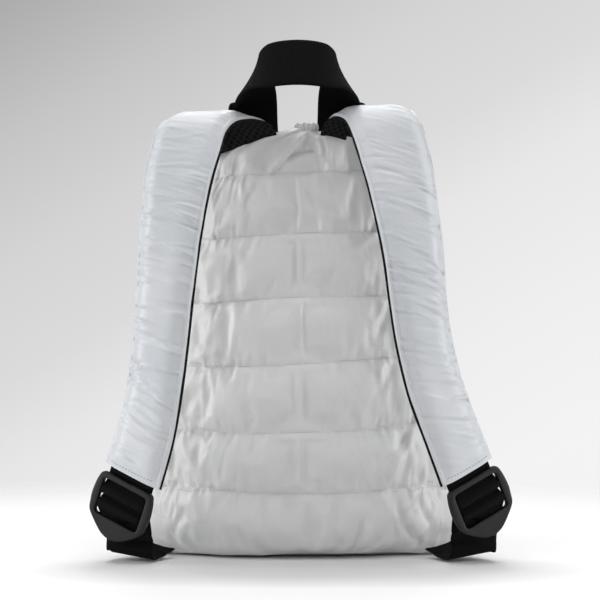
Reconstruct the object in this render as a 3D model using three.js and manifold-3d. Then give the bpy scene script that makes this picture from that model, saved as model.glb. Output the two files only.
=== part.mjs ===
// Small quilted puffer backpack, standing upright on its base.
// Millimetres, +Z up. The origin is the middle of the flat base, on the floor.
// -Y is the side that lies against the wearer's back, with the shoulder straps and the handle.
import * as THREE from "three";
import Module from "manifold-3d";
import { mergeVertices } from "three/addons/utils/BufferGeometryUtils.js";

const wasm = await Module();
wasm.setup();

// Driving dimensions of the bag
const bagHeight = 338; // floor to the rim of the gathered mouth
const bagHalfWidth = 126;
const backDepth = 59; // origin to the back panel, at a stitch line
const frontDepth = 72;
const wallThickness = 4.5; // at a stitch line, where the filling is pinched
const puff = 6; // how far the filling stands out between two stitch lines
const crownPower = 0.6; // shape of a channel's crown: 1 is a sine, less is flatter on top
const topFill = 0.55; // the short channel under the mouth, beside the others
const baseThickness = 4;

// Quilting
const stitchPitch = 51; // height of one channel
const firstStitch = 51;
const stitchCount = 6;

// Seams, cut as planes
const backSeamY = -36; // joins the back panel to the front panel
const baseSeamZ = 4.6; // joins both to the base panel
const gap = 0.3; // between neighbouring pieces
const tuck = 0.45; // between the bag and what is sewn onto it

// Straps
const padTopWidth = 55; // at the shoulder
const padEndWidth = 47;
const padThickness = 8;
const meshThickness = 2.4;

// Webbing
const webWidth = 40;
const webThickness = 1.6;
const handleThickness = 2;
const webClearance = 0.3; // between webbing and what it passes round

// Ladder-lock buckles
const windowPlay = 0.8; // between the webbing's edge and the window's side
const windowLength = 29.5;
const sideBar = 6.2;
const topBar = 4.5;
const tongueLength = 15;
const buckleThickness = 5;
const barDiameter = 3.4;
const barShares = [0.325, 0.69]; // where the two inner bars lie along the window
const barOffset = -0.5; // their centres, from the frame's middle plane
const reliefDepth = 0.8; // behind the top bar, where the strap's loop passes
const buckleEdge = 0.8; // bevel round the moulding
const buckleDrop = 7.6; // from the strap's lower end to the buckle's top edge

// Gathers that run down from the mouth, and the collar that stands on it
const gatherCount = 14;
const gatherDepth = 2.6;
const gatherFade = 26; // how far below the rim they die out
const collarHeight = 7;
const collarThickness = 1.8;
const collarWave = 1.3; // depth of one ruffle
const collarWaves = 22;
const collarFoot = 0.35; // depth of the ruffles at the foot, beside the top

const colours = {
  shell: { color: 0xe4e5e3, roughness: 0.42, metalness: 0 },
  mesh: { color: 0x121213, roughness: 0.9, metalness: 0 },
  webbing: { color: 0x18191a, roughness: 0.8, metalness: 0 },
  plastic: { color: 0x2b2c2e, roughness: 0.45, metalness: 0 },
};

// Horizontal sections of the bag, from the floor to the rim, as shares of the bag's own sizes.
// up: height. wide: half width. back and front: distance from the origin. square: corner exponent.
const sections = [
  { up: 0.0, wide: 0.84, back: 0.72, front: 0.66, square: 3.0 },
  { up: 0.017, wide: 0.94, back: 0.89, front: 0.81, square: 3.1 },
  { up: 0.055, wide: 0.985, back: 0.98, front: 0.9, square: 3.2 },
  { up: 0.15, wide: 1.0, back: 1.0, front: 0.96, square: 3.2 },
  { up: 0.295, wide: 0.985, back: 0.985, front: 1.0, square: 3.2 },
  { up: 0.44, wide: 0.945, back: 0.97, front: 1.0, square: 3.2 },
  { up: 0.585, wide: 0.89, back: 0.95, front: 0.945, square: 3.1 },
  { up: 0.73, wide: 0.82, back: 0.925, front: 0.82, square: 3.0 },
  { up: 0.835, wide: 0.74, back: 0.9, front: 0.65, square: 3.0 },
  { up: 0.9, wide: 0.67, back: 0.885, front: 0.5, square: 3.2 },
  { up: 0.94, wide: 0.59, back: 0.875, front: 0.34, square: 3.4 },
  { up: 0.962, wide: 0.5, back: 0.865, front: 0.2, square: 3.6 },
  { up: 0.976, wide: 0.38, back: 0.85, front: 0.04, square: 3.4 },
  { up: 0.988, wide: 0.235, back: 0.83, front: -0.14, square: 2.8 },
  { up: 1.0, wide: 0.105, back: 0.8, front: -0.3, square: 2.2 },
];

// Centre line of each shoulder strap, from the top seam over the shoulder to its lower end.
// out: distance from the middle, share of bagHalfWidth. reach: share of backDepth. up: share of
// bagHeight. yaw: outward turn in degrees, seen from above. roll: how far the outer edge hangs
// lower, in degrees, seen from the front. taper: 1 at padTopWidth, 0 at padEndWidth.
const leftStrapLine = [
  { out: 0.36, reach: 0.74, up: 0.965, yaw: 2, roll: 18, taper: 1 },
  { out: 0.42, reach: 0.77, up: 1.003, yaw: 2, roll: 14, taper: 1 },
  { out: 0.515, reach: 0.9, up: 1.024, yaw: 0, roll: 9, taper: 1 },
  { out: 0.6, reach: 1.1, up: 1.021, yaw: 0, roll: 6, taper: 1 },
  { out: 0.66, reach: 1.3, up: 0.994, yaw: 2, roll: 5, taper: 1 },
  { out: 0.702, reach: 1.45, up: 0.95, yaw: 6, roll: 2, taper: 1 },
  { out: 0.75, reach: 1.6, up: 0.89, yaw: 12, roll: -3, taper: 0.85 },
  { out: 0.782, reach: 1.75, up: 0.81, yaw: 18, roll: -6, taper: 0.6 },
  { out: 0.812, reach: 1.87, up: 0.706, yaw: 22, roll: -6, taper: 0.35 },
  { out: 0.832, reach: 1.93, up: 0.612, yaw: 24, roll: -6, taper: 0.12 },
  { out: 0.856, reach: 1.94, up: 0.513, yaw: 25, roll: -8, taper: 0 },
  { out: 0.894, reach: 1.89, up: 0.402, yaw: 26, roll: -13, taper: 0 },
  { out: 0.95, reach: 1.78, up: 0.304, yaw: 26, roll: -19, taper: 0 },
  { out: 1.03, reach: 1.64, up: 0.209, yaw: 26, roll: -25, taper: 0 },
];
const rightStrapLine = [
  { out: 0.345, reach: 0.74, up: 0.965, yaw: 2, roll: 12, taper: 1 },
  { out: 0.375, reach: 0.77, up: 1.008, yaw: 2, roll: 7, taper: 1 },
  { out: 0.425, reach: 0.9, up: 1.038, yaw: 0, roll: 1, taper: 1 },
  { out: 0.475, reach: 1.1, up: 1.039, yaw: 0, roll: -2, taper: 1 },
  { out: 0.52, reach: 1.3, up: 1.012, yaw: 2, roll: -2, taper: 1 },
  { out: 0.568, reach: 1.45, up: 0.96, yaw: 6, roll: -2, taper: 1 },
  { out: 0.618, reach: 1.6, up: 0.89, yaw: 12, roll: -4, taper: 0.85 },
  { out: 0.658, reach: 1.75, up: 0.81, yaw: 18, roll: -6, taper: 0.6 },
  { out: 0.7, reach: 1.87, up: 0.706, yaw: 22, roll: -7, taper: 0.35 },
  { out: 0.725, reach: 1.93, up: 0.612, yaw: 24, roll: -8, taper: 0.12 },
  { out: 0.762, reach: 1.94, up: 0.513, yaw: 25, roll: -13, taper: 0 },
  { out: 0.835, reach: 1.89, up: 0.402, yaw: 26, roll: -18, taper: 0 },
  { out: 0.935, reach: 1.78, up: 0.304, yaw: 26, roll: -22, taper: 0 },
  { out: 1.035, reach: 1.64, up: 0.209, yaw: 26, roll: -26, taper: 0 },
];

// One half of the carrying handle, from the middle of its crown to its sewn end.
// out: share of bagHalfWidth. reach: share of backDepth. up: share of bagHeight.
// lean, turn: where the lower edge of the webbing points, in degrees: lean from straight down
// towards the side, turn from the side towards the wearer.
const handleLine = [
  { out: 0.0, reach: 1.27, up: 1.148, lean: 22, turn: 90 },
  { out: 0.155, reach: 1.25, up: 1.142, lean: 24, turn: 80 },
  { out: 0.235, reach: 1.14, up: 1.133, lean: 36, turn: 60 },
  { out: 0.29, reach: 0.93, up: 1.117, lean: 55, turn: 45 },
  { out: 0.29, reach: 0.71, up: 1.085, lean: 74, turn: 16 },
  { out: 0.3, reach: 0.59, up: 1.035, lean: 82, turn: 3 },
  { out: 0.3, reach: 0.57, up: 0.965, lean: 86, turn: 0 },
];
const handleShift = -2; // how far the handle sits off the middle

// A table of numbers as one smooth function of a position from 0 to 1 along its rows.
function smoothTable(rows, columns, places = rows.map((_, i) => i / (rows.length - 1))) {
  const values = rows.flatMap((row) => columns.map((name) => row[name]));
  const spline = new THREE.CubicInterpolant(places, values, columns.length, new Float32Array(columns.length));
  return (place) => {
    const found = spline.evaluate(place);
    return Object.fromEntries(columns.map((name, i) => [name, found[i]]));
  };
}

const sectionAt = smoothTable(sections, ["wide", "back", "front", "square"], sections.map((s) => s.up));

// Height of each stitch line, with the base seam and the rim as the first and last.
const stitchLines = [0];
for (let i = 0; i < stitchCount; i++) stitchLines.push(firstStitch + i * stitchPitch);
stitchLines.push(bagHeight);

// How full a channel is at height z: 0 on a stitch line, 1 in the middle of the channel.
function fullness(z) {
  const i = Math.max(0, stitchLines.findIndex((line, k) => z < stitchLines[k + 1]));
  const share = (z - stitchLines[i]) / (stitchLines[i + 1] - stitchLines[i]);
  const crown = Math.sin(Math.PI * THREE.MathUtils.clamp(share, 0, 1)) ** crownPower;
  return i === stitchLines.length - 2 ? crown * topFill : crown;
}

// How far the gathers move the surface out at a turn angle and a height.
function gather(angle, z) {
  const near = Math.max(0, 1 - (bagHeight - z) / gatherFade);
  return gatherDepth * Math.sin(Math.PI * near) * Math.cos(gatherCount * angle);
}

// Point of the bag's surface at a turn angle (-90 degrees is the middle of the back) and a height.
// outset moves it out from the stitch-line surface.
function bagPoint(angle, z, outset) {
  const s = sectionAt(THREE.MathUtils.clamp(z / bagHeight, 0, 1));
  const back = -s.back * backDepth;
  const front = s.front * frontDepth;
  const power = 2 / s.square;
  const curve = (value) => Math.sign(value) * Math.abs(value) ** power;
  const halfWidth = s.wide * bagHalfWidth + outset;
  const halfDepth = (front - back) / 2 + outset;
  return new THREE.Vector3(
    halfWidth * curve(Math.cos(angle)),
    (front + back) / 2 + halfDepth * curve(Math.sin(angle)),
    z,
  );
}

// Closed geometry through rings of points, with a fan over each end.
function loft(rings) {
  const corners = [];
  const count = rings[0].length;
  const centre = (ring) =>
    ring.reduce((sum, p) => sum.add(p), new THREE.Vector3()).divideScalar(ring.length);
  for (let r = 0; r + 1 < rings.length; r++)
    for (let i = 0; i < count; i++) {
      const [a, b] = [rings[r][i], rings[r][(i + 1) % count]];
      const [c, d] = [rings[r + 1][(i + 1) % count], rings[r + 1][i]];
      corners.push(a, b, c, a, c, d);
    }
  const [first, last] = [rings[0], rings.at(-1)];
  for (let i = 0; i < count; i++) {
    corners.push(centre(first), first[(i + 1) % count], first[i]);
    corners.push(centre(last), last[i], last[(i + 1) % count]);
  }
  return facingOut(new THREE.BufferGeometry().setFromPoints(corners));
}

// Turns a closed geometry's faces outwards.
function facingOut(geometry) {
  const at = geometry.getAttribute("position");
  const corner = (i) => new THREE.Vector3().fromBufferAttribute(at, i);
  let volume = 0;
  for (let i = 0; i < at.count; i += 3)
    volume += corner(i).dot(corner(i + 1).cross(corner(i + 2)));
  if (volume < 0)
    for (let i = 0; i < at.count; i += 3) {
      const [b, c] = [corner(i + 1), corner(i + 2)];
      at.setXYZ(i + 1, c.x, c.y, c.z);
      at.setXYZ(i + 2, b.x, b.y, b.z);
    }
  return geometry;
}

// To a solid that can be joined and cut, and back.
function toSolid(geometry) {
  const bare = geometry.index ? geometry.toNonIndexed() : geometry.clone();
  bare.deleteAttribute("normal");
  bare.deleteAttribute("uv");
  const merged = mergeVertices(bare, 1e-4);
  return new wasm.Manifold(
    new wasm.Mesh({
      numProp: 3,
      vertProperties: merged.getAttribute("position").array,
      triVerts: new Uint32Array(merged.index.array),
    }),
  );
}
function toGeometry(solid) {
  const mesh = solid.getMesh();
  const geometry = new THREE.BufferGeometry();
  geometry.setAttribute("position", new THREE.BufferAttribute(mesh.vertProperties, 3));
  geometry.setIndex(new THREE.BufferAttribute(mesh.triVerts, 1));
  return geometry;
}

const group = new THREE.Group();
function addPiece(name, geometry, finish) {
  const mesh = new THREE.Mesh(geometry, new THREE.MeshStandardMaterial(colours[finish]));
  mesh.name = name;
  group.add(mesh);
}

// The bag: one quilted shell, cut along its seams into panels

// Heights of the rings that make the quilted outside: each channel has a few, and the mouth its own.
const channelShares = [0, 0.14, 0.5, 0.86];
const mouthShares = [0, 0.2, 0.45, 0.62, 0.75, 0.87, 0.95];
function quiltHeights() {
  const heights = [];
  for (let i = 0; i + 1 < stitchLines.length; i++) {
    const shares = i === stitchLines.length - 2 ? mouthShares : channelShares;
    for (const share of shares)
      heights.push(stitchLines[i] + share * (stitchLines[i + 1] - stitchLines[i]));
  }
  return [...heights, bagHeight];
}
const aroundCount = 56;

// The bag's whole outside as one solid. extra makes it larger all round.
function outside(extra) {
  const lift = (z) => (z <= 0 ? -extra : z);
  const rings = quiltHeights().map((z) =>
    Array.from({ length: aroundCount }, (_, i) => {
      const angle = (2 * Math.PI * i) / aroundCount;
      const point = bagPoint(angle, z, puff * fullness(z) + gather(angle, z) + extra);
      point.z = lift(z);
      return point;
    }),
  );
  return toSolid(loft(rings));
}

// The hollow: the same sections one wall inside, plain, and open through the mouth.
const hollowHeights = [0.06, 0.15, 0.3, 0.45, 0.6, 0.75, 0.85, 0.91, 0.945, 0.965, 0.98, 0.99];
const hollowAround = 28;
const aboveRim = 6;
function hollow() {
  const ring = (z, inset, height = z) =>
    Array.from({ length: hollowAround }, (_, i) => {
      const point = bagPoint((2 * Math.PI * i) / hollowAround, z, -inset);
      point.z = height;
      return point;
    });
  const rings = [ring(baseThickness, wallThickness)];
  for (const share of hollowHeights) rings.push(ring(share * bagHeight, wallThickness));
  rings.push(ring(bagHeight, wallThickness));
  rings.push(ring(bagHeight, wallThickness, bagHeight + aboveRim));
  return toSolid(loft(rings));
}

const bag = outside(0);
const shell = bag.subtract(hollow());
const sides = shell.trimByPlane([0, 0, 1], baseSeamZ + gap / 2);
addPiece("back_panel", toGeometry(sides.trimByPlane([0, -1, 0], -backSeamY + gap / 2)), "shell");
addPiece("front_panel", toGeometry(sides.trimByPlane([0, 1, 0], backSeamY + gap / 2)), "shell");
addPiece("base_panel", toGeometry(shell.trimByPlane([0, 0, -1], -baseSeamZ + gap / 2)), "shell");

// The mouth's gathered collar: a ruffled tube that stands on the rim.
const ringPoints = 4 * collarWaves;
function collar() {
  const around = (z, inset) =>
    Array.from({ length: ringPoints }, (_, i) => {
      const angle = (2 * Math.PI * i) / ringPoints;
      const flare = (z - bagHeight) / collarHeight;
      const depth = collarWave * (collarFoot + (1 - collarFoot) * flare);
      const wave = depth * Math.cos(collarWaves * angle);
      const point = bagPoint(angle, bagHeight, wave - inset);
      point.z = z;
      return point;
    });
  const foot = bagHeight + gap;
  const middle = foot + collarHeight * 0.5;
  const top = foot + collarHeight;
  const inside = collarThickness;
  const walls = [around(foot, 0), around(middle, 0), around(top, 0)];
  walls.push(around(top, inside), around(middle, inside), around(foot, inside));
  return ringLoft(walls);
}

// Closed geometry through rings that come back round to the first one, as a tube does.
function ringLoft(rings) {
  const corners = [];
  rings.forEach((ring, r) => {
    const next = rings[(r + 1) % rings.length];
    ring.forEach((a, i) => {
      const k = (i + 1) % ring.length;
      corners.push(a, ring[k], next[k], a, next[k], next[i]);
    });
  });
  return facingOut(new THREE.BufferGeometry().setFromPoints(corners));
}
addPiece("mouth_collar", collar(), "shell");

// Flat bands: straps, webbing and the handle

// A band is a list of stations. Each has a centre, the way the band runs, the way its width runs
// and the way its face looks.
function station(centre, along, widthHint) {
  const run = along.clone().normalize();
  const across = widthHint.clone().addScaledVector(run, -widthHint.dot(run)).normalize();
  return { centre, run, across, face: new THREE.Vector3().crossVectors(run, across) };
}

// Closed geometry of a band. profile gives its section as [across, out] pairs in millimetres.
function band(stations, profile) {
  return loft(
    stations.map((s, i) =>
      profile(i / (stations.length - 1)).map(([across, out]) =>
        s.centre.clone().addScaledVector(s.across, across).addScaledVector(s.face, out),
      ),
    ),
  );
}
const flatProfile = (width, thickness) => [
  [-width / 2, -thickness / 2],
  [width / 2, -thickness / 2],
  [width / 2, thickness / 2],
  [-width / 2, thickness / 2],
];

// Shoulder straps: a padded cover over a mesh backing
const strapSteps = 30;
const splitPlane = -(padThickness - meshThickness) / 2; // between cover and backing, from the centre line
const widthAt = (taper) => padEndWidth + (padTopWidth - padEndWidth) * taper;

function strapStations(side) {
  const table = side < 0 ? leftStrapLine : rightStrapLine;
  const points = table.map(
    (row) =>
      new THREE.Vector3(side * row.out * bagHalfWidth, -row.reach * backDepth, row.up * bagHeight),
  );
  const line = new THREE.CatmullRomCurve3(points);
  const tableAt = smoothTable(table, ["yaw", "roll", "taper"]);
  return Array.from({ length: strapSteps + 1 }, (_, i) => {
    const place = i / strapSteps;
    const { yaw, roll, taper } = tableAt(place);
    const [turn, drop] = [yaw, roll].map((angle) => Math.tan(THREE.MathUtils.degToRad(angle)));
    const across = new THREE.Vector3(1, side * turn, -side * drop).normalize();
    const face = line.getTangent(place).cross(across).normalize();
    const run = new THREE.Vector3().crossVectors(across, face);
    return { centre: line.getPoint(place), run, across, face, width: widthAt(taper) };
  });
}

// The cover's crowned section: shares of its half width, and of its thickness above the backing.
const coverProfile = [
  [-1, 0.0],
  [-1, 0.5],
  [-0.9, 0.88],
  [-0.45, 1.0],
  [0.45, 1.0],
  [0.9, 0.88],
  [1, 0.5],
  [1, 0.0],
];
const bagCutter = outside(tuck);
const sewnOn = (geometry) => toGeometry(toSolid(geometry).subtract(bagCutter));

function addStrap(side, word) {
  const stations = strapStations(side);
  const halfAt = (place) => stations[Math.round(place * strapSteps)].width / 2;
  const cover = band(stations, (place) =>
    coverProfile.map(([x, t]) => [x * halfAt(place), splitPlane + gap / 2 + t * padThickness]),
  );
  const backing = band(stations, (place) =>
    flatProfile(2 * halfAt(place), meshThickness).map(([x, t]) => [
      x,
      t + splitPlane - gap / 2 - meshThickness / 2,
    ]),
  );
  addPiece("strap_cover_" + word, sewnOn(cover), "shell");
  addPiece("strap_backing_" + word, sewnOn(backing), "mesh");
  return stations.at(-1);
}

// Ladder-lock buckle, drawn flat. u runs along its bars, v down from its top edge, w out of its face.
const windowWidth = webWidth + 2 * windowPlay;
const windowEnd = topBar + windowLength;
const buckleHalfWidth = windowWidth / 2 + sideBar;
const buckleLength = windowEnd + tongueLength;
const barCentres = barShares.map((share) => topBar + share * windowLength);

// Half of the outline. out: share of the half width. down: share of the length.
const buckleOutlineRows = [
  { out: 0.66, down: 0 },
  { out: 0.86, down: 0.025 },
  { out: 0.935, down: 0.12 },
  { out: 0.985, down: 0.27 },
  { out: 1, down: 0.42 },
  { out: 0.975, down: 0.54 },
  { out: 0.92, down: 0.68 },
  { out: 0.64, down: 0.84 },
  { out: 0.3, down: 0.965 },
  { out: 0, down: 1 },
];
function buckleOutline() {
  const corner = (row, side) =>
    new THREE.Vector2(side * row.out * buckleHalfWidth, -row.down * buckleLength);
  const right = buckleOutlineRows.map((row) => corner(row, 1));
  const left = buckleOutlineRows.slice(0, -1).map((row) => corner(row, -1));
  const curve = new THREE.SplineCurve([...right, ...left.reverse()]);
  return new THREE.Shape(curve.getPoints(4 * buckleOutlineRows.length));
}
function windowHole() {
  const half = windowWidth / 2;
  const hole = new THREE.Path();
  hole.moveTo(-half, -topBar);
  hole.lineTo(-half, -windowEnd);
  hole.lineTo(half, -windowEnd);
  hole.lineTo(half, -topBar);
  hole.closePath();
  return hole;
}
function buckle() {
  const outline = buckleOutline();
  outline.holes.push(windowHole());
  const frame = new THREE.ExtrudeGeometry(outline, {
    depth: buckleThickness - 2 * buckleEdge,
    bevelEnabled: true,
    bevelThickness: buckleEdge,
    bevelSize: buckleEdge,
    bevelOffset: -buckleEdge,
    bevelSegments: 1,
  });
  frame.translate(0, 0, buckleEdge - buckleThickness / 2);
  let solid = toSolid(frame);
  for (const down of barCentres) {
    const bar = new THREE.CylinderGeometry(barDiameter / 2, barDiameter / 2, windowWidth + sideBar, 10);
    bar.rotateZ(Math.PI / 2);
    bar.translate(0, -down, barOffset);
    solid = solid.add(toSolid(bar));
  }
  const relief = new THREE.BoxGeometry(windowWidth, 2 * topBar + 2 * buckleEdge, 2 * reliefDepth);
  relief.translate(0, 0, -buckleThickness / 2);
  return toGeometry(solid.subtract(toSolid(relief)));
}

// Where a buckle-frame point lies in the bag's frame.
function buckleFrame(end) {
  const origin = end.centre.clone().addScaledVector(end.run, buckleDrop);
  const place = ({ u = 0, v, w }) =>
    origin
      .clone()
      .addScaledVector(end.across, u)
      .addScaledVector(end.run, v)
      .addScaledVector(end.face, w);
  const matrix = new THREE.Matrix4()
    .makeBasis(end.across, end.run.clone().negate(), end.face)
    .setPosition(origin);
  return { place, matrix };
}

// Webbing round an inner bar, from one angle to another in degrees. 0 is in front, 90 below.
const webLayer = webThickness + webClearance; // from one layer of webbing to the next
const wrapRadius = barDiameter / 2 + webClearance + webThickness / 2;
function wrap(barCentre, from, to) {
  const steps = Math.round(Math.abs(to - from) / 45);
  return Array.from({ length: steps + 1 }, (_, i) => {
    const angle = THREE.MathUtils.degToRad(from + ((to - from) * i) / steps);
    return {
      v: barCentre + wrapRadius * Math.sin(angle),
      w: barOffset + wrapRadius * Math.cos(angle),
    };
  });
}

// The strap's loop: behind the top bar, round the upper bar and back behind its own first layer.
function loopRoute() {
  const first = reliefDepth - buckleThickness / 2 - webClearance - webThickness / 2;
  const second = first - webLayer;
  const start = webClearance - buckleDrop;
  return [
    { v: start, w: first },
    { v: 0, w: first },
    { v: topBar + webThickness, w: first },
    ...wrap(barCentres[0], -45, 180),
    { v: topBar, w: second },
    { v: 0, w: second },
    { v: start, w: second },
  ];
}

// The free tail behind the buckle, which leans towards the middle of the bag.
// aside and below: from the lower bar, shares of webWidth. behind: from the bar's centre, in layers.
const tailRows = [
  { aside: 0.25, below: 0.425, behind: 5.1 },
  { aside: 0.175, below: 0.3, behind: 5.1 },
  { aside: 0.088, below: 0.163, behind: 4.8 },
  { aside: 0.02, below: 0.038, behind: 3.8 },
];
const tonguePass = 0.27; // how far down the tongue the webbing turns away, share of its length
// The adjusting webbing: from the tail over the lower bar and down behind the tongue.
function adjusterRoute(side) {
  const bar = barCentres[1];
  const behindTongue = -buckleThickness / 2 - webClearance - webThickness;
  return [
    ...tailRows.map((row) => ({
      u: -side * row.aside * webWidth,
      v: bar + row.below * webWidth,
      w: barOffset - row.behind * webLayer,
    })),
    ...wrap(bar, -120, 60),
    { v: windowEnd, w: behindTongue - webThickness / 2 },
    { v: windowEnd + tonguePass * tongueLength, w: behindTongue - webThickness },
  ];
}
// From the buckle down, round a fold near the floor and back to the bag's lower corner.
// out: share of bagHalfWidth, for each side. reach: share of backDepth. up: share of webWidth.
// yaw: outward turn of the width in degrees. rise: how far its outer edge lies higher.
const cornerRoute = [
  { outLeft: 1.075, outRight: 1.1, reach: 1.25, up: 0.4, yaw: 24, rise: 6 },
  { outLeft: 1.06, outRight: 1.08, reach: 1.24, up: 0.22, yaw: 24, rise: 8 },
  { outLeft: 1.045, outRight: 1.06, reach: 1.16, up: 0.13, yaw: 26, rise: 8 },
  { outLeft: 1.02, outRight: 1.03, reach: 1.04, up: 0.13, yaw: 28, rise: 8 },
  { outLeft: 0.98, outRight: 0.98, reach: 0.92, up: 0.17, yaw: 32, rise: 8 },
  { outLeft: 0.93, outRight: 0.93, reach: 0.8, up: 0.22, yaw: 36, rise: 6 },
];

// Stations of webbing through points, each with a hint of where its width runs.
function webStations(points, hints, steps) {
  const line = new THREE.CatmullRomCurve3(points);
  return Array.from({ length: steps + 1 }, (_, i) => {
    const at = (i / steps) * (points.length - 1);
    const k = Math.min(Math.floor(at), points.length - 2);
    const hint = hints[k].clone().lerp(hints[k + 1], at - k);
    return station(line.getPoint(i / steps), line.getTangent(i / steps), hint);
  });
}

function addAdjuster(side, word, end) {
  const { place, matrix } = buckleFrame(end);
  const lock = buckle();
  lock.applyMatrix4(matrix);
  addPiece("buckle_" + word, lock, "plastic");

  const web = () => flatProfile(webWidth, webThickness);
  const loopPoints = loopRoute().map(place);
  const loop = webStations(loopPoints, loopPoints.map(() => end.across), 2 * loopPoints.length);
  addPiece("strap_loop_" + word, band(loop, web), "webbing");

  const inBuckle = adjusterRoute(side).map(place);
  const out = side < 0 ? "outLeft" : "outRight";
  const below = cornerRoute.map(
    (row) =>
      new THREE.Vector3(side * row[out] * bagHalfWidth, -row.reach * backDepth, row.up * webWidth),
  );
  const belowHints = cornerRoute.map((row) => {
    const [turn, lift] = [row.yaw, row.rise].map(THREE.MathUtils.degToRad);
    return new THREE.Vector3(Math.cos(turn), side * Math.sin(turn), side * Math.sin(lift));
  });
  const points = [...inBuckle, ...below];
  const hints = [...inBuckle.map(() => end.across), ...belowHints];
  const stations = webStations(points, hints, 2 * points.length - 2);
  addPiece("adjuster_" + word, sewnOn(band(stations, web)), "webbing");
}

for (const [side, word] of [
  [-1, "left"],
  [1, "right"],
])
  addAdjuster(side, word, addStrap(side, word));

// Carrying handle: one length of webbing, sewn down at both ends
function handle() {
  const stationOf = (row, side) => {
    const [lean, turn] = [row.lean, row.turn].map(THREE.MathUtils.degToRad);
    const sideways = Math.sin(lean);
    return {
      centre: new THREE.Vector3(
        side * row.out * bagHalfWidth + handleShift,
        -row.reach * backDepth,
        row.up * bagHeight,
      ),
      lower: new THREE.Vector3(
        side * sideways * Math.cos(turn),
        -sideways * Math.sin(turn),
        -Math.cos(lean),
      ),
    };
  };
  const right = handleLine.map((row) => stationOf(row, 1));
  const left = handleLine.slice(1).map((row) => stationOf(row, -1));
  const all = [...left.reverse(), ...right];
  const stations = webStations(
    all.map((s) => s.centre),
    all.map((s) => s.lower),
    2 * all.length + 4,
  );
  return band(stations, () => flatProfile(webWidth, handleThickness));
}
addPiece("handle", sewnOn(handle()), "webbing");

export default group;
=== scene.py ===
import math

import bpy
import numpy as np
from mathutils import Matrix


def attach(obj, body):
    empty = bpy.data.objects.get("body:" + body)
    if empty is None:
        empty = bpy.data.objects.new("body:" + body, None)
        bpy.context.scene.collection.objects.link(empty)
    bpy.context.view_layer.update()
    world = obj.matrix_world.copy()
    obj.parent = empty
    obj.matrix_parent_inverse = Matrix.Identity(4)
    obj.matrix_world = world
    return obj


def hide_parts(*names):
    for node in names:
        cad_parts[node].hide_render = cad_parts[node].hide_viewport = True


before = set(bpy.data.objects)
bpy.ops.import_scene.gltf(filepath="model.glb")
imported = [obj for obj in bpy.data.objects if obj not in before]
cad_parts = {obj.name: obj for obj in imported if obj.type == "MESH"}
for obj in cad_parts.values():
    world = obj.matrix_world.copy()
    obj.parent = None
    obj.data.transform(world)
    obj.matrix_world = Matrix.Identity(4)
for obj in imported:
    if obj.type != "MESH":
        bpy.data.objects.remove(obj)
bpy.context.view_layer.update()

mm = 0.001

# The studio. A pale floor fades out into a pale backdrop that is greyer at the upper left, wide soft
# boxes stand on both sides and above, and the camera is level, square to the side that lies against
# the wearer's back.
frame_width = 600  # pixels
focal_length = 2081  # pixels
sensor_width = 36  # millimetres
camera_height = 204 * mm
camera_distance = 1697 * mm

camera_data = bpy.data.cameras.new("camera")
camera_data.sensor_width = sensor_width
camera_data.lens = sensor_width * focal_length / frame_width
camera = bpy.data.objects.new("camera", camera_data)
camera.location = (0, -camera_distance, camera_height)
camera.rotation_euler = (math.radians(90), 0, 0)
bpy.context.collection.objects.link(camera)
bpy.context.scene.camera = camera
bpy.context.scene.view_settings.view_transform = "Standard"


def set_inputs(tree, node, inputs):
    """Sets each input of a node to a value, or links it to another socket."""
    for name, value in inputs.items():
        if isinstance(value, bpy.types.NodeSocket):
            tree.links.new(value, node.inputs[name])
        else:
            node.inputs[name].default_value = value


def add_node(tree, kind, inputs=None, **settings):
    """The outputs of a new shader node with its settings and inputs."""
    made = tree.nodes.new("ShaderNode" + kind)
    for name, value in settings.items():
        setattr(made, name, value)
    set_inputs(tree, made, inputs or {})
    return made.outputs


def math_node(tree, operation, *inputs, kind="Math"):
    """The value of a calculation. kind is VectorMath for a calculation with places."""
    made = add_node(tree, kind, dict(enumerate(inputs)), operation=operation)
    return made["Value"] if operation in ("LENGTH", "DOT_PRODUCT") else made[0]


def ramp(tree, mask, stops):
    """A colour ramp over a mask. stops are (place, colour) pairs."""
    made = tree.nodes.new("ShaderNodeValToRGB")
    tree.links.new(mask, made.inputs["Fac"])
    elements = made.color_ramp.elements
    while len(elements) < len(stops):
        elements.new(1)
    for element, (place, colour) in zip(elements, stops):
        element.position = place
        element.color = (*colour, 1)
    return made.outputs["Color"]


backdrop_tilt = (1.6, 0, -2.67)  # how fast it pales to the right and downwards, per unit of direction
backdrop_start = 0.615
# place along that slope, and how pale it is there
backdrop_tones = [(0, 0.40), (0.19, 0.56), (0.35, 0.66), (0.5, 0.71), (0.615, 0.8), (0.81, 0.86), (1, 0.9)]
ambient = 0.26  # what the backdrop lights the object with, beside what is seen

world = bpy.data.worlds.new("backdrop")
bpy.context.scene.world = world
world.use_nodes = True
sky = world.node_tree
sky.nodes.clear()
direction = add_node(sky, "TexCoord")["Generated"]
slope = math_node(sky, "DOT_PRODUCT", direction, backdrop_tilt, kind="VectorMath")
place = math_node(sky, "ADD", slope, backdrop_start)
tone = ramp(sky, place, [(stop, (pale, pale, pale)) for stop, pale in backdrop_tones])
seen = add_node(sky, "Background", {"Color": tone, "Strength": 1.0})[0]
lighting = add_node(sky, "Background", {"Color": (1, 1, 1, 1), "Strength": ambient})[0]
is_seen = add_node(sky, "LightPath")["Is Camera Ray"]
mixed = add_node(sky, "MixShader", {0: is_seen, 1: lighting, 2: seen})[0]
add_node(sky, "OutputWorld", {"Surface": mixed})

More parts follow.
